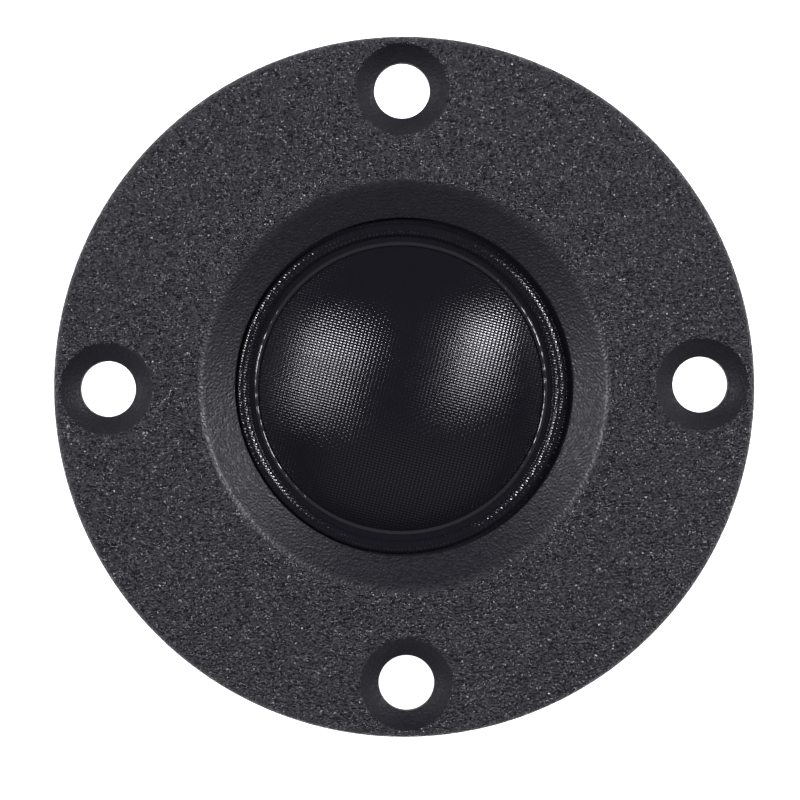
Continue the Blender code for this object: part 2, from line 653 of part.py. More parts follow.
def make_lead(name, side, parent, material):
    """Flexible lead: up the former, out under the roll, through the carrier and the top plate."""
    at_former = -math.sqrt((FORMER_OUTER_RADIUS + GLUE + WIRE_RADIUS) ** 2 - WIRE_X**2) - 0.02
    tunnel_z = CARRIER_Z + 0.25
    route = [
        (WIRE_X, at_former, TOP_PLATE_TOP_Z + 0.05),
        (WIRE_X, at_former - 0.08, TOP_PLATE_TOP_Z + 0.3),
        (WIRE_X, at_former - 0.6, TOP_PLATE_TOP_Z + 0.42),
        (WIRE_X, -CARRIER_INNER_RADIUS - 0.3, tunnel_z),
        (WIRE_X, -CARRIER_RADIUS + 0.2, tunnel_z),
        (WIRE_X, SOLDER_Y + 0.05, TOP_PLATE_TOP_Z - 0.25),
        (WIRE_X, SOLDER_Y, TOP_PLATE_Z + 0.3),
        (SOLDER_X, SOLDER_Y, SOLDER_Z + SOLDER_RADIUS + 0.45),
        (SOLDER_X, SOLDER_Y, SOLDER_Z + SOLDER_RADIUS + GLUE),
    ]
    points = [Vector((side * x, y, z)) * MM for x, y, z in route]
    run = catmull_rom(points, 3)
    curve = bpy.data.curves.new(f"lead_wire_{name}", "CURVE")
    curve.dimensions = "3D"
    curve.bevel_depth = WIRE_RADIUS * MM
    curve.bevel_resolution = 1
    curve.use_fill_caps = True
    spline = curve.splines.new("POLY")
    spline.points.add(len(run) - 1)
    for point, co in zip(spline.points, run):
        point.co = (*co, 1.0)
    curve.materials.append(material)
    obj = bpy.data.objects.new(f"lead_wire_{name}", curve)
    obj.parent = parent
    bpy.context.scene.collection.objects.link(obj)
    return obj


def main():
    clear_scene()
    driver = bpy.data.objects.new("driver", None)
    driver.empty_display_size = 0.01
    bpy.context.scene.collection.objects.link(driver)
    # The diaphragm slides along Z through this empty.
    diaphragm = bpy.data.objects.new("diaphragm", None)
    diaphragm.empty_display_size = 0.005
    diaphragm.parent = driver
    bpy.context.scene.collection.objects.link(diaphragm)

    grained_plastic = make_material("grained_black_plastic", (0.030, 0.030, 0.034), 0.55)
    plain_plastic = make_material("plain_black_plastic", (0.022, 0.022, 0.024), 0.5)
    cloth = make_material("coated_silk", (0.010, 0.010, 0.012), 0.35)
    glue = make_material("clear_glue", (0.030, 0.030, 0.032), 0.15)
    kapton = make_material("amber_film", (0.45, 0.17, 0.03), 0.35)
    copper = make_material("copper", (0.72, 0.32, 0.18), 0.3, 1.0)
    enamel = make_material("enamelled_wire", (0.50, 0.16, 0.06), 0.3, 0.8)
    steel = make_material("zinc_plated_steel", (0.55, 0.56, 0.58), 0.35, 1.0)
    nickel = make_material("nickel_plate", (0.62, 0.60, 0.56), 0.22, 1.0)
    black_screw = make_material("black_oxide_screw", (0.05, 0.05, 0.055), 0.4, 1.0)
    brass = make_material("tinned_brass", (0.66, 0.62, 0.52), 0.3, 1.0)
    solder = make_material("solder", (0.60, 0.60, 0.62), 0.28, 1.0)
    felt = make_material("grey_felt", (0.16, 0.16, 0.16), 0.95)
    foam = make_material("charcoal_foam", (0.03, 0.03, 0.03), 0.95)
    rubber = make_material("black_foam_rubber", (0.02, 0.02, 0.02), 0.8)
    board = make_material("brown_phenolic_board", (0.16, 0.07, 0.03), 0.6)

    make_faceplate(driver, grained_plastic)
    make_carrier(driver, plain_plastic)
    make_surround(driver, cloth)
    make_dome(diaphragm, cloth)
    make_bead(diaphragm, glue)
    make_voice_coil(diaphragm, kapton, enamel)
    make_top_plate(driver, steel)
    make_motor(driver, steel, nickel, copper)
    make_damping(driver, felt, foam)
    make_rear_chamber(driver, plain_plastic, rubber)
    make_screws(driver, black_screw)
    make_terminals(driver, board, brass, solder)
    for name, side in (("positive", 1.0), ("negative", -1.0)):
        make_lead(name, side, driver, copper)


main()
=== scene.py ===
import math

import bmesh
import bpy
import numpy as np
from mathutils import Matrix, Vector, noise as blender_noise


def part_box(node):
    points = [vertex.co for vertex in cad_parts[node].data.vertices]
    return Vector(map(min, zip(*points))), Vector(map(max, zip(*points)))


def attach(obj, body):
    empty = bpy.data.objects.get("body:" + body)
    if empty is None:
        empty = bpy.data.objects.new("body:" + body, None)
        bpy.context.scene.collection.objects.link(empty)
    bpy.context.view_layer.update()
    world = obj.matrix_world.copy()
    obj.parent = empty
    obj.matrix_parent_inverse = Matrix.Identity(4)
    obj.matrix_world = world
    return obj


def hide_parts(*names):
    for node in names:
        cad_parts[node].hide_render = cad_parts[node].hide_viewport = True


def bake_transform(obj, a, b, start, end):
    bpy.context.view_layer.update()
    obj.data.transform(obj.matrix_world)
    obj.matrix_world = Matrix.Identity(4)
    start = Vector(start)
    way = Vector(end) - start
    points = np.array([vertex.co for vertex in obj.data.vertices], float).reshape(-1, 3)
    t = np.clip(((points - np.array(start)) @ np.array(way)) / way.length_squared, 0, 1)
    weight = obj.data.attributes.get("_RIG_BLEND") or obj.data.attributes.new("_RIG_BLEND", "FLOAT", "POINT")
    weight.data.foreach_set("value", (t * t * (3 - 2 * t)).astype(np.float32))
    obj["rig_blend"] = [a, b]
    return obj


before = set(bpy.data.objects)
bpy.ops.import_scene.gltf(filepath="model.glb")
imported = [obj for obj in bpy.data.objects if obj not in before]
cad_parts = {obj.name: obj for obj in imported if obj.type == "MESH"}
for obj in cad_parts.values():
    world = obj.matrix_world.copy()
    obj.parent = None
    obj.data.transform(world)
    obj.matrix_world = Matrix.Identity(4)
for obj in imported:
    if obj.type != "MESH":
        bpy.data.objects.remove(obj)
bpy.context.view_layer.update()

MM = 0.001
QUARTER = math.pi / 2.0

# ---------------------------------------------------------------- sizes read from the frame


def box_mm(node):
    low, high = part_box(node)
    return Vector(low) / MM, Vector(high) / MM


FACE_LOW, FACE_HIGH = box_mm("faceplate")
DOME_LOW, DOME_HIGH = box_mm("dome")
SURROUND_LOW, SURROUND_HIGH = box_mm("surround")
PLATE_LOW, PLATE_HIGH = box_mm("top_plate")
MAGNET_LOW, MAGNET_HIGH = box_mm("ring_magnet")
YOKE_LOW, YOKE_HIGH = box_mm("pole_yoke")
GASKET_LOW, GASKET_HIGH = box_mm("rear_chamber_gasket")
CARRIER_LOW, CARRIER_HIGH = box_mm("diaphragm_carrier")
BOARD_LOW, BOARD_HIGH = box_mm("terminal_board")
CUP_HIGH = box_mm("rear_chamber_cup")[1]

FLANGE_RADIUS = FACE_HIGH.x
DOME_RADIUS = DOME_HIGH.x
DOME_BASE_Z = DOME_LOW.z
DOME_HEIGHT = DOME_HIGH.z - DOME_LOW.z
BEAD_RADIUS = box_mm("bond_bead")[1].x

# Sizes as in the CAD model, which a node's box doesn't give.
CLOTH = 0.2
GLUE = 0.05
SCREW_CIRCLE_RADIUS = 20.0
SCREW_ANGLES = (90.0, 210.0, 330.0)
SCREW_HEAD_RADIUS = 1.8
SCREW_RADIUS = 0.95
RIVET_RADIUS = 0.55
RIVET_HEAD_RADIUS = 0.95
WIRE_X = 1.6
WIRE_RADIUS = 0.13
SOLDER_X = 2.2
SOLDER_Y = -19.1
CUP_WALL = 1.5
FLANGE_THICKNESS = 2.8
OPENING_RADIUS = 14.95
DISH_RADIUS = 18.6
DISH_SLOPE = math.radians(35.0)
DISH_LIP_RADIUS = 1.85
LIP_THICKNESS = 0.6
OPENING_Z = SURROUND_LOW.z + CLOTH + GLUE + LIP_THICKNESS
CONE_WIDTH = DISH_RADIUS - OPENING_RADIUS - DISH_LIP_RADIUS * math.sin(DISH_SLOPE)
DISH_DEPTH = CONE_WIDTH * math.tan(DISH_SLOPE) + DISH_LIP_RADIUS * (1.0 - math.cos(DISH_SLOPE))
FRONT_Z = OPENING_Z + DISH_DEPTH
REAR_Z = FRONT_Z - FLANGE_THICKNESS
SKIRT_RADIUS = 23.15
SKIRT_INNER_RADIUS = 22.1
POCKET_RADIUS = 18.6
HOLE_CIRCLE_RADIUS = 26.3
HOLE_RADIUS = 2.47
SINK_RIM_RADIUS = 3.96
SINK_BREAK_RADIUS = 3.3
SINK_BREAK_DEPTH = 0.9
SINK_DEPTH = 1.35

# Half-roll of the surround.
ROLL_CENTRE_RADIUS = 14.16
ROLL_RADIUS = 0.62

OPENING_EASE = 0.1  # not in CAD: the lip's edge is moulded back by this much

# The photographed diaphragm was glued a little off the axis, down and to the left.
GLUED_OFF = Vector((-0.30, -0.14, 0.0))

# Silk: a plain weave, turned clockwise as seen from the front.
WEAVE_TURN = math.radians(-15.0)
PITCH_U = 0.318
PITCH_V = 0.242
CRIMP = 0.026
WARP_CROWN = 0.022
WEFT_CROWN = 0.034
CROSSING_SPREAD = 0.0022

AROUND = 288  # points round a large turned piece
OVERCUT = 1.0  # how far a cutter reaches past what it cuts


# ---------------------------------------------------------------- mesh helpers


def harden(obj, degrees):
    """Keeps an edge hard where its faces meet at more than this angle."""
    obj.data.set_sharp_from_angle(angle=math.radians(degrees))


def mesh_object(name, points, faces, smooth=True, sharp=None):
    mesh = bpy.data.meshes.new(name)
    mesh.from_pydata([tuple(p) for p in points], [], [tuple(f) for f in faces])
    mesh.validate()
    if smooth:
        mesh.shade_smooth()
    obj = bpy.data.objects.new(name, mesh)
    if smooth and sharp is not None:
        harden(obj, sharp)
    bpy.context.scene.collection.objects.link(obj)
    return obj


def around(radius, angle, x=0.0, y=0.0):
    return x + radius * math.cos(angle), y + radius * math.sin(angle)


def arc(centre_r, centre_z, radius, start, end, steps):
    """Profile points along an arc, angles in radians from outward, up being a quarter turn."""
    return [around(radius, a, centre_r, centre_z) for a in np.linspace(start, end, steps + 1)]


def turned(name, profile, steps=AROUND, sharp=35.0, at=(0.0, 0.0)):
    """A (radius, height) profile in millimetres turned about a vertical axis, down its outer side."""
    profile = np.array(profile, float)
    count = len(profile)
    angles = np.linspace(0.0, 2.0 * math.pi, steps, endpoint=False)
    on_axis = profile[:, 0] < 1e-6
    points, index = [], np.zeros((count, steps), int)
    for i, (r, z) in enumerate(profile):
        if on_axis[i]:
            index[i, :] = len(points)
            points.append((at[0], at[1], z))
        else:
            index[i, :] = np.arange(len(points), len(points) + steps)
            points.extend((*around(r, a, *at), z) for a in angles)
    faces = []
    for i in range(count):
        j = (i + 1) % count
        if on_axis[i] and on_axis[j]:
            continue
        for k in range(steps):
            m = (k + 1) % steps
            corner = [index[i, k], index[j, k], index[j, m], index[i, m]]
            face = list(dict.fromkeys(corner))
            if len(face) > 2:
                faces.append(face)
    return mesh_object(name, np.array(points) * MM, faces, sharp=sharp)


def apply_modifiers(obj):
    graph = bpy.context.evaluated_depsgraph_get()
    final = obj.evaluated_get(graph)
    done = bpy.data.meshes.new_from_object(final, preserve_all_data_layers=True, depsgraph=graph)
    obj.modifiers.clear()
    obj.data = done


def cut(obj, cutter):
    boolean = obj.modifiers.new("cut", "BOOLEAN")
    boolean.operation = "DIFFERENCE"
    boolean.solver = "EXACT"
    boolean.object = cutter
    bpy.context.view_layer.update()
    apply_modifiers(obj)
    bpy.data.objects.remove(cutter, do_unlink=True)


def box_object(name, low, high):
    """A box between two corners in millimetres."""
    x0, y0, z0 = low
    x1, y1, z1 = high
    points = [(x, y, z) for z in (z0, z1) for x, y in ((x0, y0), (x1, y0), (x1, y1), (x0, y1))]
    faces = [(3, 2, 1, 0), (4, 5, 6, 7), (0, 1, 5, 4), (1, 2, 6, 5), (2, 3, 7, 6), (3, 0, 4, 7)]
    return mesh_object(name, np.array(points) * MM, faces, smooth=False)


def bevelled(obj, width, segments=3, sharp=40.0):
    bevel = obj.modifiers.new("bevel", "BEVEL")
    bevel.width = width * MM
    bevel.segments = segments
    bevel.limit_method = "ANGLE"
    bevel.angle_limit = math.radians(30.0)
    bpy.context.view_layer.update()
    apply_modifiers(obj)
    obj.data.shade_smooth()
    harden(obj, sharp)
    return obj


def closer(profile, step):
    """The same profile with a point at least every step millimetres."""
    out = []
    for (r0, z0), (r1, z1) in zip(profile, profile[1:] + profile[:1]):
        on_axis = r0 < 1e-6 and r1 < 1e-6
        count = 1 if on_axis else max(1, math.ceil(math.hypot(r1 - r0, z1 - z0) / step))
        out += [(r0 + (r1 - r0) * k / count, z0 + (z1 - z0) * k / count) for k in range(count)]
    return out


def peg(radius, low, high):
    """Profile of a plain round cutter."""
    return [(0.0, high), (radius, high), (radius, low), (0.0, low)]


def ring(inner, outer, low, high, edge, steps=3):
    """Profile of a ring with rounded corners."""
    profile = arc(inner + edge, high - edge, edge, math.pi, QUARTER, steps)
    profile += arc(outer - edge, high - edge, edge, QUARTER, 0.0, steps)
    profile += arc(outer - edge, low + edge, edge, 0.0, -QUARTER, steps)
    return profile + arc(inner + edge, low + edge, edge, -QUARTER, -math.pi, steps)


def read_points(mesh, what):
    values = np.zeros(len(mesh.vertices) * 3)
    mesh.vertices.foreach_get(what, values)
    return values.reshape(-1, 3)


def write_points(mesh, points):
    """Sets every point's place, given in millimetres."""
    mesh.vertices.foreach_set("co", (points * MM).ravel())
    mesh.update()


def roughen(obj, height):
    """Moves each point along its normal by height(point), both in millimetres."""
    co = read_points(obj.data, "co") / MM
    normal = read_points(obj.data, "normal")
    lift = np.array([height(Vector(point)) for point in co])
    write_points(obj.data, co + normal * lift[:, None])


def stands_for(obj, body, node):
    """Puts a piece in the place of its CAD node."""
    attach(obj, body)
    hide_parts(node)


def finished(obj, body, node, material):
    """Gives a piece its one material and the place of its CAD node."""
    obj.data.materials.clear()
    obj.data.materials.append(material)
    stands_for(obj, body, node)


# ---------------------------------------------------------------- materials


def feed(tree, node, inputs):
    """Sets a node's inputs to values, or links them from other nodes' outputs."""
    for name, value in inputs.items():
        if isinstance(value, bpy.types.NodeSocket):
            tree.links.new(value, node.inputs[name])
        else:
            node.inputs[name].default_value = value
    return node


def new_material(name, colour, roughness, metallic=0.0, specular=0.5):
    material = bpy.data.materials.new(name)
    material.use_nodes = True
    tree = material.node_tree
    look = {"Roughness": roughness, "Metallic": metallic, "Specular IOR Level": specular}
    shader = feed(tree, tree.nodes["Principled BSDF"], {"Base Color": (*colour, 1.0), **look})
    return material, tree, shader


def textured(*look, **more):
    """A new material, with the object's own coordinates for its textures."""
    material, tree, shader = new_material(*look, **more)
    return material, tree, shader, tree.nodes.new("ShaderNodeTexCoord").outputs["Object"]


def noise(tree, where, scale, detail=2.0, rough=0.5, distortion=0.0):
    look = {"Scale": scale, "Detail": detail, "Roughness": rough, "Distortion": distortion}
    return feed(tree, tree.nodes.new("ShaderNodeTexNoise"), {"Vector": where, **look}).outputs["Fac"]


def cells(tree, where, scale):
    """Random cells: the distance from each one's middle, and a colour for each one."""
    node = feed(tree, tree.nodes.new("ShaderNodeTexVoronoi"), {"Vector": where, "Scale": scale})
    return node.outputs["Distance"], node.outputs["Color"]


def ramp(tree, value, low, high, from_low=0.0, from_high=1.0):
    limits = {"From Min": from_low, "From Max": from_high, "To Min": low, "To Max": high}
    return feed(tree, tree.nodes.new("ShaderNodeMapRange"), {"Value": value, **limits}).outputs["Result"]


def math_node(tree, operation, a, b):
    node = tree.nodes.new("ShaderNodeMath")
    node.operation = operation
    return feed(tree, node, {0: a, 1: b}).outputs["Value"]


def bump(tree, shader, height, strength, distance):
    look = {"Height": height, "Strength": strength, "Distance": distance}
    node = feed(tree, tree.nodes.new("ShaderNodeBump"), look)
    feed(tree, shader, {"Normal": node.outputs["Normal"]})


def mix_colour(tree, factor, a, b):
    node = tree.nodes.new("ShaderNodeMix")
    node.data_type = "RGBA"
    return feed(tree, node, {"Factor": factor, "A": (*a, 1.0), "B": (*b, 1.0)}).outputs["Result"]


def shine(tree, shader, value, low, high, from_low=0.0, from_high=1.0):
    """Roughness goes from low to high as the value goes from from_low to from_high."""
    feed(tree, shader, {"Roughness": ramp(tree, value, low, high, from_low, from_high)})


def mottle(tree, shader, value, from_low, from_high, a, b):
    """Base colour goes from a to b as the value goes from from_low to from_high."""
    tint = mix_colour(tree, ramp(tree, value, 0.0, 1.0, from_low, from_high), a, b)
    feed(tree, shader, {"Base Color": tint})


def moulded_plastic(name, grain, rough, specular):
    """Black ABS from a spark-eroded tool: a fine random grain that glints under side light."""
    material, tree, shader, where = textured(name, (0.0085, 0.0085, 0.0115), 0.4, specular=specular)
    distance, shade = cells(tree, where, 4300.0)
    squared = math_node(tree, "POWER", distance, 2.0)
    waves = noise(tree, where, 4600.0, 0.0)
    height = math_node(tree, "ADD", math_node(tree, "MULTIPLY", squared, -0.6), waves)
    bump(tree, shader, height, 1.0, grain)
    shine(tree, shader, shade, *rough, 0.15, 0.75)
    return material


def coated_silk():
    """Doped black cloth: dark yarns under a glossy, slightly uneven coat; the gaps between yarns get painted
    shade that dims their reflection.
    """
    material, tree, shader, where = textured("coated_silk", (0.008, 0.008, 0.0105), 0.2, specular=1.0)
    axes = feed(tree, tree.nodes.new("ShaderNodeSeparateXYZ"), {"Vector": where})

    def yarn_count(along_x, along_y, pitch):
        x = math_node(tree, "MULTIPLY", axes.outputs["X"], along_x / (pitch * MM))
        y = math_node(tree, "MULTIPLY", axes.outputs["Y"], along_y / (pitch * MM))
        return math_node(tree, "ADD", x, y)

    u = yarn_count(math.cos(WEAVE_TURN), math.sin(WEAVE_TURN), PITCH_U)
    v = yarn_count(-math.sin(WEAVE_TURN), math.cos(WEAVE_TURN), PITCH_V)
    gap_u, gap_v = (
        ramp(tree, math_node(tree, "PINGPONG", count, 0.5), 0.0, 1.0, 0.20, 0.36) for count in (u, v)
    )
    gap = math_node(tree, "MAXIMUM", gap_u, gap_v)
    shine(tree, shader, noise(tree, where, 900.0, 3.0, 0.6), 0.12, 0.19, 0.3, 0.7)
    # Painted shade: the specular tint drops to 0.08 in the gaps between yarns, standing in for the shadow in
    # those valleys.
    tint = mix_colour(tree, gap, (1.0, 1.0, 1.0), (0.08, 0.08, 0.08))
    feed(tree, shader, {"Specular Tint": tint})
    return material


def clear_glue():
    material, tree, shader, where = textured("clear_glue", (0.02, 0.02, 0.022), 0.12)
    bump(tree, shader, noise(tree, where, 1500.0), 0.5, 0.00006)
    return material


def satin_plastic():
    """Smooth moulded ABS: faint flow waves and a satin sheen that varies a little."""
    material, tree, shader, where = textured("satin_plastic", (0.016, 0.016, 0.017), 0.4)
    bump(tree, shader, noise(tree, where, 5200.0, 3.0, 0.6), 0.6, 0.00004)
    shine(tree, shader, noise(tree, where, 260.0, 4.0), 0.34, 0.52)
    return material


def plated(name, colour, stain, rough, wave, fine_scale=2600.0):
    """Plated metal: a slightly stained plate with shallow waves and uneven shine."""
    material, tree, shader, where = textured(name, colour, rough, metallic=1.0)
    mottle(tree, shader, noise(tree, where, 190.0, 5.0, 0.62), 0.42, 0.68, colour, stain)
    shine(tree, shader, noise(tree, where, 700.0, 4.0, 0.65), rough - 0.08, rough + 0.12)
    bump(tree, shader, noise(tree, where, fine_scale, 3.0, 0.6), 0.7, wave)
    return material


def turned_steel():
    """Zinc plate over steel, which still shows the lathe's rings."""
    material, tree, shader, where = textured("zinc_plated_steel", (0.38, 0.39, 0.41), 0.3, metallic=1.0)
    rings = tree.nodes.new("ShaderNodeTexWave")
    rings.wave_type = "RINGS"
    rings.rings_direction = "Z"
    feed(tree, rings, {"Vector": where, "Scale": 1900.0, "Distortion": 0.6})
    cloud = noise(tree, where, 160.0, 5.0, 0.6)
    height = math_node(tree, "ADD", rings.outputs["Fac"], noise(tree, where, 2400.0, 3.0, 0.6))
    bump(tree, shader, height, 0.5, 0.000012)
    mottle(tree, shader, cloud, 0.4, 0.7, (0.40, 0.41, 0.43), (0.29, 0.285, 0.27))
    shine(tree, shader, cloud, 0.24, 0.42, 0.3, 0.7)
    return material


def phenolic_board():
    """Brown resin-bonded paper: long faint fibres under a satin skin."""
    material, tree, shader, where = textured("phenolic_board", (0.16, 0.07, 0.03), 0.5)
    stretch = tree.nodes.new("ShaderNodeMapping")
    feed(tree, stretch, {"Vector": where, "Scale": (0.12, 1.0, 1.0)})
    fibres = noise(tree, stretch.outputs["Vector"], 5200.0, 5.0, 0.7)
    mottle(tree, shader, fibres, 0.35, 0.7, (0.11, 0.045, 0.018), (0.22, 0.105, 0.045))
    shine(tree, shader, fibres, 0.38, 0.62, 0.3, 0.7)
    bump(tree, shader, fibres, 0.6, 0.00002)
    return material


def open_foam():
    """Charcoal open-cell foam: soft walls round pores that are painted darker towards their middles, as shade in
    the pits.
    """
    material, tree, shader, where = textured("charcoal_foam", (0.03, 0.03, 0.03), 0.95, specular=0.2)
    depth = cells(tree, where, 2200.0)[0]
    # Painted shade: the colour darkens towards each pore's middle, where the pit is deepest.
    mottle(tree, shader, depth, 0.15, 0.6, (0.008, 0.008, 0.008), (0.055, 0.055, 0.057))
    bump(tree, shader, depth, 1.0, 0.00012)
    return material


def wool_felt():
    """Grey felt: matted fibres with a soft sheen."""
    material, tree, shader, where = textured("grey_felt", (0.16, 0.16, 0.16), 0.95, specular=0.2)
    feed(tree, shader, {"Sheen Weight": 0.4, "Sheen Roughness": 0.6})
    fibres = noise(tree, where, 2300.0, 6.0, distortion=2.5)
    mottle(tree, shader, fibres, 0.3, 0.7, (0.09, 0.09, 0.092), (0.26, 0.26, 0.255))
    bump(tree, shader, fibres, 1.0, 0.00010)
    return material


def foam_rubber():
    """Closed-cell neoprene: a fine pitted skin."""
    material, tree, shader, where = textured("foam_rubber", (0.02, 0.02, 0.02), 0.75, specular=0.35)
    pits = noise(tree, where, 6000.0, 4.0, 0.7)
    bump(tree, shader, pits, 0.8, 0.00005)
    shine(tree, shader, pits, 0.62, 0.88, 0.3, 0.7)
    return material


def amber_film():
    """Polyimide film: clear amber with a faint crinkle."""
    material, tree, shader, where = textured("amber_film", (0.45, 0.17, 0.03), 0.3)
    feed(tree, shader, {"Coat Weight": 0.5})
    crinkle = noise(tree, where, 420.0, 3.0, 0.5)
    tint = mix_colour(tree, crinkle, (0.36, 0.12, 0.018), (0.55, 0.24, 0.05))
    feed(tree, shader, {"Base Color": tint})
    bump(tree, shader, crinkle, 0.5, 0.00005)
    return material


# ---------------------------------------------------------------- faceplate


def countersink():
    """Cutter for a mounting hole: rounded rim, steep wall easing into a flatter seat, and bore."""
    rim, broken = 0.3, 0.12
    outer = SINK_RIM_RADIUS + rim
    profile = [(0.0, FRONT_Z + OVERCUT), (outer, FRONT_Z + OVERCUT), (outer, FRONT_Z + 0.001)]
    profile += arc(outer, FRONT_Z - rim, rim, QUARTER, QUARTER + 0.95, 5)[1:]
    start = Vector(profile[-1])
    corner = Vector((SINK_BREAK_RADIUS - 0.08, FRONT_Z - SINK_BREAK_DEPTH - 0.14))
    end = Vector((HOLE_RADIUS + 0.1, FRONT_Z - SINK_DEPTH - 0.02))
    for t in np.linspace(0.1, 1.0, 10):
        bend = start.lerp(corner, t).lerp(corner.lerp(end, t), t)
        profile.append((bend.x, bend.y))
    profile += [(HOLE_RADIUS + 0.02, end.y - 0.06), (HOLE_RADIUS, end.y - 0.16)]
    profile += [(HOLE_RADIUS, REAR_Z + broken), (HOLE_RADIUS + broken, REAR_Z)]
    return profile + [(HOLE_RADIUS + broken, REAR_Z - OVERCUT), (0.0, REAR_Z - OVERCUT)]


def make_faceplate():
    brim = 0.12
    edge = 0.6
    eased = OPENING_RADIUS + OPENING_EASE
    rise = math.tan(DISH_SLOPE)
    brim_z = OPENING_Z + OPENING_EASE * rise - brim / 2.0
    profile = arc(eased + brim, brim_z, brim, math.pi, QUARTER + DISH_SLOPE, 6)
    for t in np.linspace(0.2, 0.92, 7):
        profile.append((OPENING_RADIUS + t * CONE_WIDTH, OPENING_Z + t * CONE_WIDTH * rise))
    lip = DISH_LIP_RADIUS
    profile += arc(DISH_RADIUS, FRONT_Z - lip, lip, QUARTER + DISH_SLOPE, QUARTER, 14)
    profile += arc(FLANGE_RADIUS - edge, FRONT_Z - edge, edge, QUARTER, 0.0, 8)
    profile += [
        (FLANGE_RADIUS - 0.05, REAR_Z + 0.25),
        (FLANGE_RADIUS - 0.12, REAR_Z + 0.08),
        (FLANGE_RADIUS - 0.25, REAR_Z),
        (SKIRT_RADIUS + 0.3, REAR_Z),
        (SKIRT_RADIUS + 0.09, REAR_Z - 0.09),
        (SKIRT_RADIUS, REAR_Z - 0.3),
        (SKIRT_RADIUS - 0.05, FACE_LOW.z + 0.15),
        (SKIRT_RADIUS - 0.2, FACE_LOW.z),
        (SKIRT_INNER_RADIUS + 0.2, FACE_LOW.z),
        (SKIRT_INNER_RADIUS + 0.05, FACE_LOW.z + 0.15),
        (SKIRT_INNER_RADIUS, CARRIER_LOW.z),
        (POCKET_RADIUS, CARRIER_LOW.z),
        (POCKET_RADIUS, OPENING_Z - LIP_THICKNESS),
        (eased, OPENING_Z - LIP_THICKNESS),
    ]
    obj = turned("faceplate_moulding", profile, sharp=40.0)
    holes = [around(HOLE_CIRCLE_RADIUS, i * QUARTER) for i in range(4)]
    for at in holes:
        cut(obj, turned("mounting_hole", countersink(), 96, at=at))
    obj.data.shade_smooth()
    harden(obj, 28.0)
    weighted = obj.modifiers.new("weighted", "WEIGHTED_NORMAL")
    weighted.keep_sharp = True
    flange, dish, dish_lip, sink = range(4)
    obj.data.materials.clear()
    for name, grain, rough, specular in (
        ("flange_plastic", 0.00020, (0.20, 0.65), 0.5),
        ("dish_plastic", 0.00005, (0.42, 0.60), 0.42),
        ("dish_lip_plastic", 0.00004, (0.34, 0.48), 0.5),
        ("countersink_plastic", 0.00004, (0.52, 0.72), 0.30),
    ):
        obj.data.materials.append(moulded_plastic(name, grain, rough, specular))
    centres = np.zeros(len(obj.data.polygons) * 3)
    obj.data.polygons.foreach_get("center", centres)
    centres = centres.reshape(-1, 3) / MM
    radius = np.hypot(centres[:, 0], centres[:, 1])
    kind = np.full(len(centres), flange, np.int32)
    above = centres[:, 2] > OPENING_Z - LIP_THICKNESS
    kind[(radius < DISH_RADIUS - 0.3) & above] = dish_lip
    kind[(radius < DISH_RADIUS - 0.8) & above] = dish
    for x, y in holes:
        near = np.hypot(centres[:, 0] - x, centres[:, 1] - y) < SINK_RIM_RADIUS + 0.1
        kind[near & (centres[:, 2] > REAR_Z + 0.05) & (centres[:, 2] < FRONT_Z - 0.005)] = sink
    obj.data.polygons.foreach_set("material_index", kind)
    obj.data.update()
    stands_for(obj, "driver", "faceplate")


# ---------------------------------------------------------------- woven diaphragm


RANDOM_LIFT = np.random.default_rng(11).normal(0.0, CROSSING_SPREAD, (512, 512))


def weave_height(x, y):
    """Height of a plain weave over a plane, in millimetres; each yarn is a straight-sided ridge."""
    u = (x * math.cos(WEAVE_TURN) + y * math.sin(WEAVE_TURN)) / PITCH_U
    v = (-x * math.sin(WEAVE_TURN) + y * math.cos(WEAVE_TURN)) / PITCH_V
    best = np.full(np.shape(x), -1.0)
    for i in (np.floor(u), np.floor(u) + 1.0):
        for j in (np.floor(v), np.floor(v) + 1.0):
            du, dv = np.clip(np.abs(u - i), 0.0, 1.0), np.clip(np.abs(v - j), 0.0, 1.0)
            # One yarn goes over at each crossing: warps along v, wefts along u.
            over = (i + j) % 2.0 == 0.0
            across = np.where(over, WARP_CROWN * (4.0 * du - 1.0), WEFT_CROWN * (4.0 * dv - 1.0))
            along = 0.5 * CRIMP * (1.0 - np.cos(math.pi * np.where(over, dv, du)))
            fade = (np.cos(0.5 * math.pi * du) * np.cos(0.5 * math.pi * dv)) ** 2
            lift = RANDOM_LIFT[i.astype(int) % 512, j.astype(int) % 512] * fade
            best = np.maximum(best, lift - across - along)
    return best


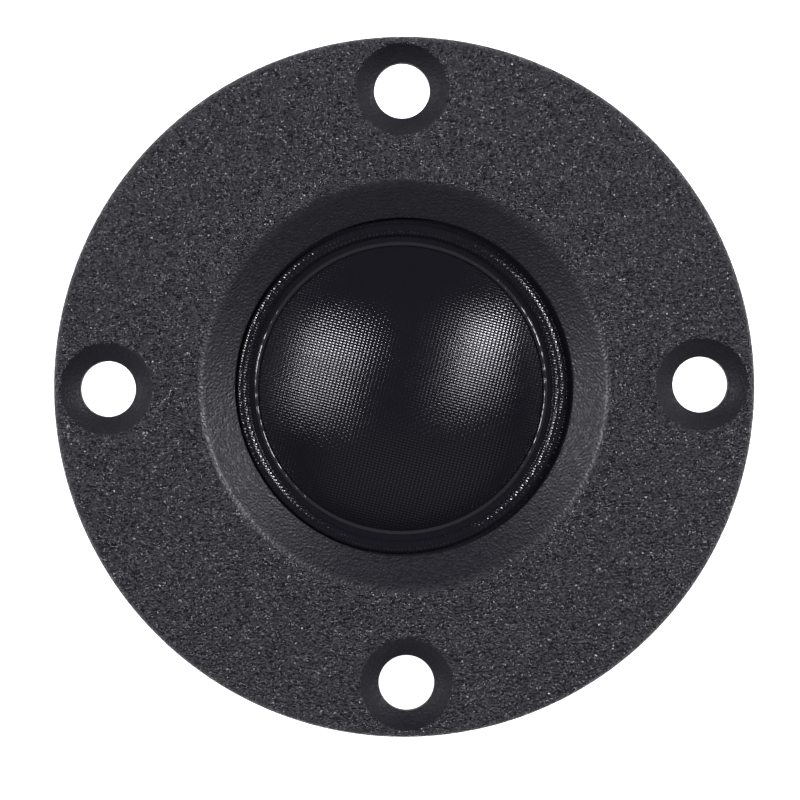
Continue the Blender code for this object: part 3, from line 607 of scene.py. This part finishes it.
def make_dome(silk):
    """Cap of woven silk. Its outside is a grid that follows the yarns; its inside is plain."""
    sphere = (DOME_RADIUS**2 + DOME_HEIGHT**2) / (2.0 * DOME_HEIGHT)
    centre_z = DOME_BASE_Z + DOME_HEIGHT - sphere
    step_u, step_v = PITCH_U / 4.0, PITCH_V / 4.0
    count_u = int(DOME_RADIUS / step_u) + 2
    count_v = int(DOME_RADIUS / step_v) + 2
    u = np.arange(-count_u, count_u + 1) * step_u
    v = np.arange(-count_v, count_v + 1) * step_v
    u, v = np.meshgrid(u, v, indexing="ij")
    x = u * math.cos(WEAVE_TURN) - v * math.sin(WEAVE_TURN)
    y = u * math.sin(WEAVE_TURN) + v * math.cos(WEAVE_TURN)
    r = np.hypot(x, y)
    inside = r < DOME_RADIUS
    cell = inside[:-1, :-1] | inside[1:, :-1] | inside[1:, 1:] | inside[:-1, 1:]
    shrink = np.where(inside, 1.0, DOME_RADIUS / np.maximum(r, 1e-9))
    x, y = x * shrink, y * shrink
    r = np.hypot(x, y)
    height = weave_height(x, y)
    # The cloth is pressed flat where it is glued.
    height *= np.clip((DOME_RADIUS - r) / 0.25, 0.0, 1.0)
    drop = np.sqrt(np.maximum(sphere**2 - r**2, 0.0))
    scale = (sphere + height) / sphere
    points = np.stack([x * scale, y * scale, centre_z + drop * scale], axis=-1).reshape(-1, 3)
    points += np.array(GLUED_OFF)
    number = np.arange(x.size).reshape(x.shape)
    quads = np.stack([number[:-1, :-1], number[1:, :-1], number[1:, 1:], number[:-1, 1:]], axis=-1)[cell]
    used, compact = np.unique(quads, return_inverse=True)
    obj = mesh_object("dome_silk", points[used] * MM, compact.reshape(quads.shape))
    bm = bmesh.new()
    bm.from_mesh(obj.data)
    bmesh.ops.remove_doubles(bm, verts=bm.verts, dist=2e-6)
    rim = [e for e in bm.edges if e.is_boundary]
    inner_sphere = sphere - CLOTH
    base_r = math.sqrt(inner_sphere**2 - (DOME_BASE_Z - centre_z) ** 2)
    rows = 6
    for k in range(rows):
        grown = bmesh.ops.extrude_edge_only(bm, edges=rim)["geom"]
        rim = [g for g in grown if isinstance(g, bmesh.types.BMEdge)]
        radius = base_r * math.cos(k / (rows - 1.0) * QUARTER * 0.97)
        z = centre_z + math.sqrt(inner_sphere**2 - radius**2)
        for vert in {w for e in rim for w in e.verts}:
            flat = (vert.co - GLUED_OFF * MM).xy.normalized() * radius + GLUED_OFF.xy
            vert.co = (flat.x * MM, flat.y * MM, z * MM)
    bmesh.ops.holes_fill(bm, edges=rim)
    bmesh.ops.recalc_face_normals(bm, faces=bm.faces)
    bm.to_mesh(obj.data)
    bm.free()
    obj.data.shade_smooth()
    harden(obj, 75.0)
    finished(obj, "diaphragm", "dome", silk)


def make_surround(silk):
    """Half-roll of the same silk, from the glue line to under the faceplate's lip."""
    middle = SURROUND_LOW.z + CLOTH / 2.0
    top = SURROUND_LOW.z + CLOTH
    lift = math.asin((CLOTH / 2.0) / ROLL_RADIUS)
    inner = BEAD_RADIUS + GLUE
    foot = 0.04
    run_in = ROLL_CENTRE_RADIUS - ROLL_RADIUS - foot - inner
    upper = [(inner, top)] + [(inner + t * run_in, top) for t in np.linspace(0.2, 1.0, 5)]
    upper += arc(ROLL_CENTRE_RADIUS, middle, ROLL_RADIUS, math.pi - lift * 1.1, lift * 1.1, 34)
    upper += [(ROLL_CENTRE_RADIUS + ROLL_RADIUS + foot + t, top) for t in (0.0, 0.3, 1.0, 2.2)]
    upper += [(SURROUND_HIGH.x, top)]
    under = ROLL_RADIUS - CLOTH
    dip = math.asin((CLOTH / 2.0) / under)
    lower = [(SURROUND_HIGH.x, SURROUND_LOW.z)]
    lower += arc(ROLL_CENTRE_RADIUS, middle, under, -dip, math.pi + dip, 12)
    lower += [(inner, SURROUND_LOW.z)]
    steps = 2160
    obj = turned("surround_silk", upper + lower, steps, sharp=60.0)
    mesh = obj.data
    co = read_points(mesh, "co") / MM
    normal = read_points(mesh, "normal")
    on_top = np.zeros(len(co), bool)
    on_top[: len(upper) * steps] = True
    height = 0.6 * weave_height(co[:, 0], co[:, 1])
    r = np.hypot(co[:, 0], co[:, 1])
    height *= np.clip((r - inner - 0.3) / 0.2, 0.0, 1.0)
    height *= np.clip((OPENING_RADIUS + 0.3 - r) / 0.3, 0.0, 1.0)
    co += normal * (height * on_top)[:, None]
    # Only the flange under the lip stays on the axis.
    co += np.array(GLUED_OFF) * np.clip((SURROUND_HIGH.x - 0.6 - r) / 2.4, 0.0, 1.0)[:, None]
    write_points(mesh, co)
    mesh.materials.append(silk)
    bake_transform(obj, "driver", "diaphragm", start=(OPENING_RADIUS * MM, 0.0, 0.0), end=(inner * MM, 0.0, 0.0))
    # The roll bends between its two feet, all the way round.
    t = np.clip((ROLL_CENTRE_RADIUS + ROLL_RADIUS - r) / (2.0 * ROLL_RADIUS), 0.0, 1.0)
    weights = (t * t * (3.0 - 2.0 * t)).astype(np.float32)
    mesh.attributes["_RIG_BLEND"].data.foreach_set("value", weights)
    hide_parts("surround")


def make_bead():
    """The ring of glue, a little uneven along its length."""
    inner = DOME_RADIUS - 0.04
    width = BEAD_RADIUS + GLUE + 0.02 - inner
    middle = inner + width / 2.0
    rng = np.random.default_rng(5)
    waves = [(n, rng.uniform(0.0, 2.0 * math.pi), rng.uniform(0.4, 1.0)) for n in (7, 13, 23, 41, 67)]
    profile = [(inner, DOME_BASE_Z)] + arc(middle, DOME_BASE_Z + 0.10, width / 2.0, math.pi, 0.0, 8)
    profile += [(inner + width, DOME_BASE_Z)]
    obj = turned("glue_line", profile, 720, sharp=60.0)
    mesh = obj.data
    co = read_points(mesh, "co") / MM
    angle = np.arctan2(co[:, 1], co[:, 0])
    swell = sum(a * np.sin(n * angle + p) for n, p, a in waves) / sum(a for _, _, a in waves)
    rise = np.clip((co[:, 2] - DOME_BASE_Z - 0.05) / 0.1, 0.0, 1.0)
    co[:, 2] += 0.035 * swell * rise
    co += np.array(GLUED_OFF)
    write_points(mesh, co)
    finished(obj, "diaphragm", "bond_bead", clear_glue())


# ---------------------------------------------------------------- voice coil and diaphragm's seat


def make_voice_coil(copper):
    """Film former and the coil on it, whose outer layer shows its turns."""
    low, high = box_mm("voice_coil_former")
    inner = high.x - 0.1
    obj = turned("former_film", closer(ring(inner, high.x, low.z, high.z, 0.03), 0.4), sharp=50.0)
    finished(obj, "diaphragm", "voice_coil_former", amber_film())

    low, high = box_mm("voice_coil_winding")
    wire = 0.5 * (high.x - (inner + 0.1 + 0.4 * GLUE))
    turns = int((high.z - low.z) / wire)
    pitch = (high.z - low.z) / turns
    profile = []
    for k in range(turns):
        centre = high.z - (k + 0.5) * pitch
        profile += arc(high.x - wire / 2.0, centre, wire / 2.0, math.radians(75.0), math.radians(-75.0), 5)
    profile += [(high.x - 2.0 * wire, low.z), (high.x - 2.0 * wire, high.z)]
    obj = turned("coil_turns", profile, sharp=80.0)
    finished(obj, "diaphragm", "voice_coil_winding", copper)


def smooth_route(points, per_span):
    """A smooth run through every point."""
    ends = [points[0] * 2 - points[1]] + points + [points[-1] * 2 - points[-2]]
    run = []
    for a, b, c, d in zip(ends, ends[1:], ends[2:], ends[3:]):
        for i in range(per_span):
            t = i / per_span
            cubic = (a * 2.0 - b * 5.0 + c * 4.0 - d) * t**2 + (b * 3.0 - a - c * 3.0 + d) * t**3
            run.append(0.5 * (b * 2.0 + (c - a) * t + cubic))
    run.append(points[-1])
    return run


def make_lead(node, side, copper):
    """Tinsel lead: copper strands twisted together, from the former to the solder joint."""
    plate_top, tunnel_z = PLATE_HIGH.z, CARRIER_LOW.z + 0.25
    former_high = box_mm("voice_coil_former")[1]
    solder_top = box_mm("solder_joint_positive")[1].z
    at_former = -math.sqrt((former_high.x + GLUE + WIRE_RADIUS) ** 2 - WIRE_X**2) - 0.02
    route = [
        (WIRE_X, at_former, plate_top + 0.05),
        (WIRE_X, at_former - 0.08, plate_top + 0.3),
        (WIRE_X, at_former - 0.6, plate_top + 0.42),
        (WIRE_X, -(OPENING_RADIUS + GLUE) - 0.3, tunnel_z),
        (WIRE_X, -CARRIER_HIGH.x + 0.2, tunnel_z),
        (WIRE_X, SOLDER_Y + 0.05, plate_top - 0.25),
        (WIRE_X, SOLDER_Y, PLATE_LOW.z + 0.3),
        (SOLDER_X, SOLDER_Y, solder_top + 0.45),
        (SOLDER_X, SOLDER_Y, solder_top + GLUE),
    ]
    run = smooth_route([Vector((side * x, y, z)) for x, y, z in route], 14)
    sides, strands = 30, 5
    points, faces = [], []
    along = 0.0
    across = Vector((1.0, 0.0, 0.0))
    for i, centre in enumerate(run):
        before, after = run[max(i - 1, 0)], run[min(i + 1, len(run) - 1)]
        along += (centre - before).length
        way = (after - before).normalized()
        across = (across - way * across.dot(way)).normalized()
        upward = way.cross(across)
        for k in range(sides):
            angle = 2.0 * math.pi * k / sides
            lobed = WIRE_RADIUS * (0.86 + 0.14 * math.cos(strands * (angle - 2.6 * along)))
            points.append(centre + (across * math.cos(angle) + upward * math.sin(angle)) * lobed)
    for i in range(len(run) - 1):
        for k in range(sides):
            m = (k + 1) % sides
            faces.append((i * sides + k, i * sides + m, (i + 1) * sides + m, (i + 1) * sides + k))
    faces.append(tuple(range(sides))[::-1])
    faces.append(tuple((len(run) - 1) * sides + k for k in range(sides)))
    obj = mesh_object(f"{node}_strands", [p * MM for p in points], faces, sharp=60.0)
    obj.data.materials.append(copper)
    held = (0.0, -(OPENING_RADIUS + 0.2) * MM, 0.0)
    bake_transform(obj, "driver", "diaphragm", start=held, end=(0.0, (at_former - 0.1) * MM, 0.0))
    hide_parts(node)


def make_carrier(plastic):
    """Ring under the cloth's edge, with a tunnel for each lead."""
    profile = ring(OPENING_RADIUS + GLUE, CARRIER_HIGH.x, CARRIER_LOW.z, CARRIER_HIGH.z, 0.08)
    obj = turned("carrier_ring", profile)
    for x in (-WIRE_X, WIRE_X):
        low = (x - 0.35, -CARRIER_HIGH.x - OVERCUT, CARRIER_LOW.z - OVERCUT)
        high = (x + 0.35, -OPENING_RADIUS + OVERCUT, CARRIER_LOW.z + 0.5)
        cut(obj, box_object("tunnel", low, high))
    harden(obj, 35.0)
    finished(obj, "driver", "diaphragm_carrier", plastic)


# ---------------------------------------------------------------- motor


def make_top_plate(steel):
    """Punched ring: rounded where the punch went in, square round the coil's gap."""
    bore = 13.33
    profile = [(bore, PLATE_HIGH.z)]
    profile += arc(PLATE_HIGH.x - 0.35, PLATE_HIGH.z - 0.35, 0.35, QUARTER, 0.0, 6)
    profile += arc(PLATE_HIGH.x - 0.2, PLATE_LOW.z + 0.2, 0.2, 0.0, -QUARTER, 4)
    profile += [(bore, PLATE_LOW.z)]
    obj = turned("top_plate_punched", profile)
    for angle in SCREW_ANGLES:
        at = around(SCREW_CIRCLE_RADIUS, math.radians(angle))
        cut(obj, turned("screw_hole", screw_hole(SCREW_RADIUS + 0.2, 0.12), 48, at=at))
    half = WIRE_X + 0.6
    low = (-half, SOLDER_Y - 0.45, PLATE_LOW.z - OVERCUT)
    high = (half, SOLDER_Y + 0.45, PLATE_HIGH.z + OVERCUT)
    cut(obj, box_object("lead_slot", low, high))
    for node, radius, depth, steps in (
        ("terminal_rivet_positive", 1.2, 0.6, 48),
        ("terminal_rivet_negative", 1.2, 0.6, 48),
        ("board_rivet", RIVET_RADIUS + GLUE, 1.6, 32),
    ):
        hole = peg(radius, PLATE_LOW.z - OVERCUT, PLATE_LOW.z + depth)
        cut(obj, turned("rivet_room", hole, steps, at=middle_of(node)))
    harden(obj, 32.0)
    finished(obj, "driver", "top_plate", steel)


def middle_of(node):
    low, high = box_mm(node)
    return (low.x + high.x) / 2.0, (low.y + high.y) / 2.0


def screw_hole(radius, edge):
    """Cutter for a hole through the top plate, with broken edges."""
    over, under, flare = PLATE_HIGH.z + OVERCUT, PLATE_LOW.z - OVERCUT, radius + edge + OVERCUT
    straight = [(radius, PLATE_HIGH.z - edge), (radius, PLATE_LOW.z + edge)]
    return [(0.0, over), (flare, over)] + straight + [(flare, under), (0.0, under)]


def make_magnet(nickel):
    """Nickel-plated ring with its tumbled, rounded corners."""
    bore = 14.6
    profile = ring(bore, MAGNET_HIGH.x, MAGNET_LOW.z, MAGNET_HIGH.z, 0.3, 6)
    obj = turned("magnet_ring", closer(profile, 0.8))
    finished(obj, "driver", "ring_magnet", nickel)


def make_yoke(steel):
    """Back plate and pole in one, turned, with the vent's broken edges."""
    pole, vent, edge = 12.15, 4.0, 0.3
    base_top = MAGNET_LOW.z - GLUE
    profile = arc(vent + edge, YOKE_HIGH.z - edge, edge, math.pi, QUARTER, 4)
    profile += arc(pole - edge, YOKE_HIGH.z - edge, edge, QUARTER, 0.0, 4)
    profile += [(pole, base_top + 0.25), (pole - 0.15, base_top + 0.1), (pole - 0.05, base_top)]
    profile += arc(YOKE_HIGH.x - edge, base_top - edge, edge, QUARTER, 0.0, 5)
    # A shallow waist where the chuck held the plate.
    middle = (YOKE_LOW.z + base_top) / 2.0
    profile += [(YOKE_HIGH.x, middle + 0.5), (YOKE_HIGH.x - 0.04, middle + 0.42)]
    profile += [(YOKE_HIGH.x - 0.04, middle - 0.42), (YOKE_HIGH.x, middle - 0.5)]
    profile += arc(YOKE_HIGH.x - edge, YOKE_LOW.z + edge, edge, 0.0, -QUARTER, 5)
    profile += arc(vent + edge, YOKE_LOW.z + edge, edge, -QUARTER, -math.pi, 4)
    obj = turned("yoke_turned", profile)
    finished(obj, "driver", "pole_yoke", steel)


def make_copper_cap(copper):
    """Drawn cap over the pole: a rolled corner and an open middle."""
    low, high = box_mm("copper_cap")
    wall, mouth = 0.2, 5.0
    profile = [(mouth, high.z)] + arc(high.x - wall, high.z - wall, wall, QUARTER, 0.0, 6)
    profile += [(high.x, low.z), (high.x - wall, low.z), (high.x - wall, high.z - wall - 0.06)]
    profile += [(high.x - wall - 0.06, high.z - wall), (mouth, high.z - wall)]
    obj = turned("copper_cap_drawn", closer(profile, 0.9))
    finished(obj, "driver", "copper_cap", copper)


# ---------------------------------------------------------------- damping


def felt_height(point):
    """Matted fibres: low hills with finer ones on them."""
    fine = blender_noise.noise(point * 5.0)
    return 0.05 * blender_noise.noise(point * 1.3) + 0.05 * fine - 0.03


def pore_depth(point):
    """Open cells of foam: a pit around each cell's middle."""
    nearest = blender_noise.voronoi(point * 1.7)[0]
    return -0.22 * max(0.0, 1.0 - nearest[0] / 0.55)


def make_damping(felt, foam):
    low, high = box_mm("pole_damping_pad")
    profile = ring(5.06, high.x - 0.05, low.z + 0.02, high.z - 0.05, 0.18)
    pad = turned("felt_pad", closer(profile, 0.16), 300, sharp=None)
    roughen(pad, felt_height)
    finished(pad, "driver", "pole_damping_pad", felt)

    for node, name, edge, step, steps, fill in (
        ("vent_foam", "vent_foam_plug", 0.2, 0.16, 150, 0.8),
        ("rear_chamber_foam", "chamber_foam_disc", 0.25, 0.24, 360, 0.7),
    ):
        low, high = box_mm(node)
        outer_corners = ring(edge, high.x, low.z, high.z, edge)[4:12]
        profile = [(0.0, high.z)] + outer_corners + [(0.0, low.z)]
        disc = turned(name, closer(profile, step), steps, sharp=None)
        roughen(disc, pore_depth)
        finished(disc, "driver", node, foam)


# ---------------------------------------------------------------- rear chamber


def make_cup(plastic):
    """Moulded cup: a sunk back with a raised rim, its gate's stub and three ejector marks."""
    outer, top = CUP_HIGH.x, CUP_HIGH.z
    wall, corner, bevel = CUP_WALL, 0.8, 0.6
    inner = outer - wall
    draft, groove = 0.06, 0.09
    profile = [(0.0, wall), (inner - bevel, wall), (inner, wall + bevel), (inner, top)]
    profile += arc(outer - 0.25, top - 0.25, 0.25, QUARTER, 0.0, 4)
    profile += [(outer, top - 0.9), (outer - groove, top - 0.98)]
    profile += [(outer - groove, top - 1.22), (outer - 0.01, top - 1.3)]
    profile += arc(outer - draft - corner, corner, corner, 0.0, -QUARTER, 10)
    rim, sunk = 13.4, 0.3
    profile += [(rim + 0.3, 0.0)] + arc(rim + 0.12, 0.12, 0.12, -QUARTER, -math.pi, 3)
    profile += arc(rim - 0.12, sunk - 0.12, 0.12, 0.0, QUARTER, 3)
    profile += [(9.6, sunk), (9.5, sunk - 0.08), (9.1, sunk - 0.08), (9.0, sunk)]
    profile += [(0.85, sunk), (0.7, sunk - 0.18), (0.3, sunk - 0.2), (0.0, sunk - 0.16)]
    obj = turned("chamber_cup", profile)
    for k in range(3):
        at = around(11.2, math.radians(30.0 + 120.0 * k))
        mark = [(0.0, sunk + 0.1), (0.9, sunk + 0.1), (0.96, sunk - 1.0), (0.0, sunk - 1.0)]
        cut(obj, turned("ejector_mark", mark, 48, at=at))
    harden(obj, 32.0)
    finished(obj, "driver", "rear_chamber_cup", plastic)


def make_gasket(rubber):
    """Die-cut foam ring, pinched so that its edges bulge."""
    inner = CUP_HIGH.x - CUP_WALL + 0.15
    bulge = 0.12
    middle = (GASKET_LOW.z + GASKET_HIGH.z) / 2.0
    half = (GASKET_HIGH.z - GASKET_LOW.z) / 2.0
    angles = np.linspace(QUARTER, -QUARTER, 9)
    swell = [(bulge * math.cos(a), middle + half * math.sin(a)) for a in angles]
    profile = [(GASKET_HIGH.x - bulge + out, z) for out, z in swell]
    profile += [(inner + bulge - out, z) for out, z in reversed(swell)]
    obj = turned("gasket_foam", profile, 360, sharp=60.0)
    roughen(obj, lambda p: 0.012 * blender_noise.noise(p * 2.2))
    finished(obj, "driver", "rear_chamber_gasket", rubber)


# ---------------------------------------------------------------- screws and terminals


def make_screw(node, turn, steel):
    """Pan-head screw with a cross recess and a rolled thread, head down."""
    x, y = middle_of(node)
    seat, tip = PLATE_LOW.z - GLUE, PLATE_LOW.z + 4.7
    head, high = SCREW_HEAD_RADIUS, 1.3
    start, pitch, steps = seat + 0.35, 0.55, 36
    profile = [(0.0, tip), (0.25, tip)]
    levels = np.arange(tip - 0.06, start, -pitch / 9.0)
    profile += [(SCREW_RADIUS * min(1.0, 0.45 + (tip - z)), z) for z in levels]
    profile += [(SCREW_RADIUS - 0.06, start - 0.1), (SCREW_RADIUS, seat + 0.03)]
    profile += [(SCREW_RADIUS + 0.06, seat)]
    profile += arc(head - 0.1, seat - 0.1, 0.1, QUARTER, 0.0, 3)
    profile += arc(head - 0.55, seat - 0.55, 0.55, 0.0, -0.6, 4)
    dome = [(head - 0.14) * math.cos(a) for a in np.linspace(0.3, QUARTER, 7)]
    profile += [(r, seat - high + 0.42 * (r / head) ** 2.4) for r in dome[:-1]]
    profile += [(0.0, seat - high)]
    obj = turned(f"{node}_threaded", profile, steps)
    for vert in obj.data.vertices:
        z = vert.co.z / MM
        r = math.hypot(vert.co.x, vert.co.y) / MM
        if z < start or z > tip - 0.03 or r < 1e-6:
            continue
        phase = (z / pitch - math.atan2(vert.co.y, vert.co.x) / (2.0 * math.pi)) % 1.0
        depth = 0.2 * abs(2.0 * phase - 1.0) * min(1.0, (z - start) / 0.3)
        scale = max(r - depth, 0.15) / r
        vert.co.x *= scale
        vert.co.y *= scale
    for turned_by in (0.0, QUARTER):
        points = []
        for level, long in ((seat - high + 0.72, 0.5), (seat - high - 0.3, 1.08)):
            for a, b in ((-long, -0.19), (long, -0.19), (long, 0.19), (-long, 0.19)):
                wide = b * (0.75 if long < 1.0 else 1.15)
                points.append((a * math.cos(turned_by) - wide * math.sin(turned_by),
                               a * math.sin(turned_by) + wide * math.cos(turned_by), level))
        faces = [(0, 1, 2, 3), (7, 6, 5, 4), (0, 4, 5, 1), (1, 5, 6, 2), (2, 6, 7, 3), (3, 7, 4, 0)]
        cut(obj, mesh_object("cross", np.array(points) * MM, faces, smooth=False))
    spin = Vector((math.cos(turn), math.sin(turn)))
    for vert in obj.data.vertices:
        a, b = vert.co.x, vert.co.y
        vert.co.x = a * spin.x - b * spin.y + x * MM
        vert.co.y = a * spin.y + b * spin.x + y * MM
    obj.data.shade_smooth()
    harden(obj, 38.0)
    finished(obj, "driver", node, steel)


def make_board(phenolic):
    """Punched board with its notch for the solder joints."""
    board = box_object("board_punched", BOARD_LOW, BOARD_HIGH)
    bevelled(board, 0.09)
    half = SOLDER_X + 0.4
    low = (-half, SOLDER_Y - 0.55, BOARD_LOW.z - OVERCUT)
    high = (half, BOARD_HIGH.y + OVERCUT, BOARD_HIGH.z + OVERCUT)
    cut(board, box_object("notch", low, high))
    for node in ("terminal_rivet_positive", "terminal_rivet_negative", "board_rivet"):
        hole = peg(RIVET_RADIUS + GLUE, BOARD_LOW.z - OVERCUT, BOARD_HIGH.z + OVERCUT)
        cut(board, turned("rivet_hole", hole, 48, at=middle_of(node)))
    harden(board, 32.0)
    finished(board, "driver", "terminal_board", phenolic)


def make_terminal(node, rivet, thickness, brass):
    """Stamped tab: a bent foot, chamfered lead-in edges and the dimple that the connector snaps into."""
    low, high = box_mm(node)
    bend = thickness + 0.25
    outer = arc(low.y + bend, high.z - bend, bend, math.pi, QUARTER, 8)
    inner = arc(low.y + bend, high.z - bend, bend - thickness, QUARTER, math.pi, 6)
    outline = [(low.y, low.z)] + outer + [(high.y, high.z), (high.y, high.z - thickness)] + inner
    outline += [(low.y + thickness, low.z)]
    count = len(outline)
    points = [(x, y, z) for x in (low.x, high.x) for y, z in outline]
    faces = [tuple(range(count)), tuple(range(2 * count - 1, count - 1, -1))]
    faces += [(i, count + i, count + (i + 1) % count, (i + 1) % count) for i in range(count)]
    obj = mesh_object(f"{node}_stamped", np.array(points) * MM, faces, smooth=False)
    bm = bmesh.new()
    bm.from_mesh(obj.data)
    tip = [e for e in bm.edges if all(v.co.z < (low.z + 0.01) * MM for v in e.verts)]
    tip = [e for e in tip if abs(e.verts[0].co.x - e.verts[1].co.x) < 1e-7]
    bmesh.ops.bevel(bm, geom=tip, offset=0.2 * (high.x - low.x) * MM, segments=1, affect="EDGES")
    bmesh.ops.recalc_face_normals(bm, faces=bm.faces)
    bm.to_mesh(obj.data)
    bm.free()
    bevelled(obj, 0.11, 2)
    hole = peg(RIVET_RADIUS + GLUE, high.z - thickness - OVERCUT, high.z + OVERCUT)
    cut(obj, turned("rivet_hole", hole, 48, at=middle_of(rivet)))
    # The dimple is a shallow bowl in the tab's outer face.
    bowl, depth = 0.75, 0.28 * thickness
    ball = turned("dimple", ball_profile(bowl, 1.4, 14), 40)
    for vert in ball.data.vertices:
        vert.co += Vector(((low.x + high.x) / 2.0, low.y - bowl + depth, low.z + 3.1)) * MM
    cut(obj, ball)
    obj.data.shade_smooth()
    harden(obj, 30.0)
    finished(obj, "driver", node, brass)


def ball_profile(radius, end, steps):
    """Half a circle about the axis, whose arc stops end radians above and below the middle."""
    return [(0.0, radius)] + arc(0.0, 0.0, radius, end, -end, steps) + [(0.0, -radius)]


def make_rivet(node, brass):
    """Rivet with a rounded head underneath, hollow at its end, and a rolled head on top if it has one."""
    low, high = box_mm(node)
    head, under = RIVET_HEAD_RADIUS, low.z + 0.35
    if node != "board_rivet":
        profile = [(0.0, high.z - 0.12), (0.3, high.z - 0.1), (0.42, high.z)]
        profile += arc(0.62 * head, high.z - 0.16, 0.16, QUARTER, -0.2, 4)
        profile += [(RIVET_RADIUS, high.z - 0.33)]
    else:
        profile = [(0.0, high.z), (RIVET_RADIUS - 0.1, high.z), (RIVET_RADIUS, high.z - 0.1)]
    profile += [(RIVET_RADIUS, under), (head - 0.08, under)]
    profile += arc(head - 0.08, under - 0.08, 0.08, QUARTER, -0.1, 3)
    profile += [(r * head, low.z + 0.2 * r**2.6) for r in (0.85, 0.7, 0.55, 0.45)]
    hollow = ((0.36, 0.03), (0.3, 0.1), (0.26, 0.22), (0.0, 0.24))
    profile += [(r * head, low.z + depth) for r, depth in hollow]
    obj = turned(f"{node}_set", profile, 60, at=middle_of(node))
    finished(obj, "driver", node, brass)


def make_solder(node, seed, solder):
    """Blob of solder, a little lopsided."""
    low, high = box_mm(node)
    centre = (low + high) / 2.0
    radius = (high.z - low.z) / 2.0
    ball = turned(f"{node}_blob", ball_profile(radius, 1.45, 26), 48, sharp=None)
    for vert in ball.data.vertices:
        way = (vert.co / MM).normalized()
        swell = 0.93 + 0.07 * blender_noise.noise(way * 1.6 + Vector((seed, 0.0, 0.0)))
        vert.co = (centre + way * radius * swell) * MM
    finished(ball, "driver", node, solder)


# ---------------------------------------------------------------- set and camera


LIGHT_DISTANCE = 0.50
LIGHT_COLOUR = (0.925, 0.915, 1.0)
CAMERA_DISTANCE = 0.28
SENSOR_WIDTH = 36.0
FACEPLATE_SHARE = 0.8775  # of the picture's width
# In the photo the part sits a little off the middle and is turned a little clockwise.
SHIFT_X, SHIFT_Y, ROLL = -0.0052, -0.0165, math.radians(-0.43)


def area_light(name, direction, width, height, energy, target):
    """A rectangle of light, given in metres and watts, that looks at the target."""
    data = bpy.data.lights.new(name, "AREA")
    data.shape = "RECTANGLE"
    data.size = width
    data.size_y = height
    data.energy = energy
    data.color = LIGHT_COLOUR
    light = bpy.data.objects.new(name, data)
    way = Vector(direction).normalized()
    light.location = target + way * LIGHT_DISTANCE
    # A light shines down its own -Z; its height stays as near the picture's up as it can.
    light.rotation_euler = way.to_track_quat("Z", "Y").to_euler()
    bpy.context.scene.collection.objects.link(light)


def make_set():
    scene = bpy.context.scene
    scene.view_settings.view_transform = "Standard"
    target = Vector((0.0, 0.0, FRONT_Z * MM))
    area_light("softbox_left", (-0.732, 0.15, 0.652), 0.085, 0.34, 2.55, target)
    area_light("softbox_right", (0.668, 0.27, 0.686), 0.10, 0.32, 2.85, target)
    area_light("reflector_low", (0.0, -0.85, 0.52), 1.0, 0.35, 0.33, target)

    world = bpy.data.worlds.new("backdrop")
    scene.world = world
    world.use_nodes = True
    backdrop = {"Color": (1.0, 1.0, 1.0, 1.0), "Strength": 1.05}
    feed(world.node_tree, world.node_tree.nodes["Background"], backdrop)
    world.cycles_visibility.diffuse = False
    world.cycles_visibility.glossy = False

    corners = [(-3, -3, 0), (3, -3, 0), (3, 3, 0), (-3, 3, 0)]
    floor = mesh_object("floor", corners, [(0, 1, 2, 3)], smooth=False)
    material, tree, shader = new_material("floor_white", (0.8, 0.8, 0.8), 0.9)
    feed(tree, shader, {"Emission Color": (1.0, 1.0, 1.0, 1.0), "Emission Strength": 1.0})
    floor.data.materials.append(material)

    camera_data = bpy.data.cameras.new("camera")
    camera = bpy.data.objects.new("camera", camera_data)
    scene.collection.objects.link(camera)
    frame_width = 2.0 * FLANGE_RADIUS * MM / FACEPLATE_SHARE
    camera_data.sensor_width = SENSOR_WIDTH
    camera_data.lens = SENSOR_WIDTH * CAMERA_DISTANCE / frame_width
    camera_data.shift_x = SHIFT_X
    camera_data.shift_y = SHIFT_Y
    camera_data.clip_start = 0.01
    camera_data.clip_end = 20.0
    camera.location = (0.0, 0.0, FRONT_Z * MM + CAMERA_DISTANCE)
    camera.rotation_euler = (0.0, 0.0, ROLL)
    scene.camera = camera


make_faceplate()
silk = coated_silk()
make_dome(silk)
make_surround(silk)
make_bead()

copper = plated("copper", (0.72, 0.32, 0.18), (0.52, 0.20, 0.11), 0.26, 0.00002)
enamel = plated("enamelled_wire", (0.50, 0.16, 0.06), (0.40, 0.11, 0.04), 0.24, 0.00002)
plastic = satin_plastic()
make_voice_coil(enamel)
make_carrier(plastic)
make_lead("lead_wire_positive", 1.0, copper)
make_lead("lead_wire_negative", -1.0, copper)

steel = turned_steel()
make_top_plate(steel)
make_magnet(plated("nickel_plate", (0.40, 0.39, 0.37), (0.30, 0.29, 0.26), 0.2, 0.00003, 1500.0))
make_yoke(steel)
make_copper_cap(copper)
make_damping(wool_felt(), open_foam())
make_cup(plastic)
make_gasket(foam_rubber())

oxide = plated("black_oxide", (0.055, 0.055, 0.06), (0.10, 0.095, 0.09), 0.36, 0.00003)
for number, screw_turn in ((1, 0.0), (2, 25.0), (3, 50.0)):
    make_screw(f"assembly_screw_{number}", math.radians(screw_turn), oxide)
tin = plated("tinned_brass", (0.50, 0.47, 0.40), (0.44, 0.37, 0.25), 0.28, 0.00003)
solder = plated("solder", (0.48, 0.48, 0.50), (0.36, 0.36, 0.38), 0.24, 0.00004, 3800.0)
make_board(phenolic_board())
for polarity, thickness in (("positive", 0.8), ("negative", 0.5)):
    make_terminal(f"terminal_{polarity}", f"terminal_rivet_{polarity}", thickness, tin)
    make_rivet(f"terminal_rivet_{polarity}", tin)
    make_solder(f"solder_joint_{polarity}", 3.0 * thickness, solder)
make_rivet("board_rivet", tin)
make_set()
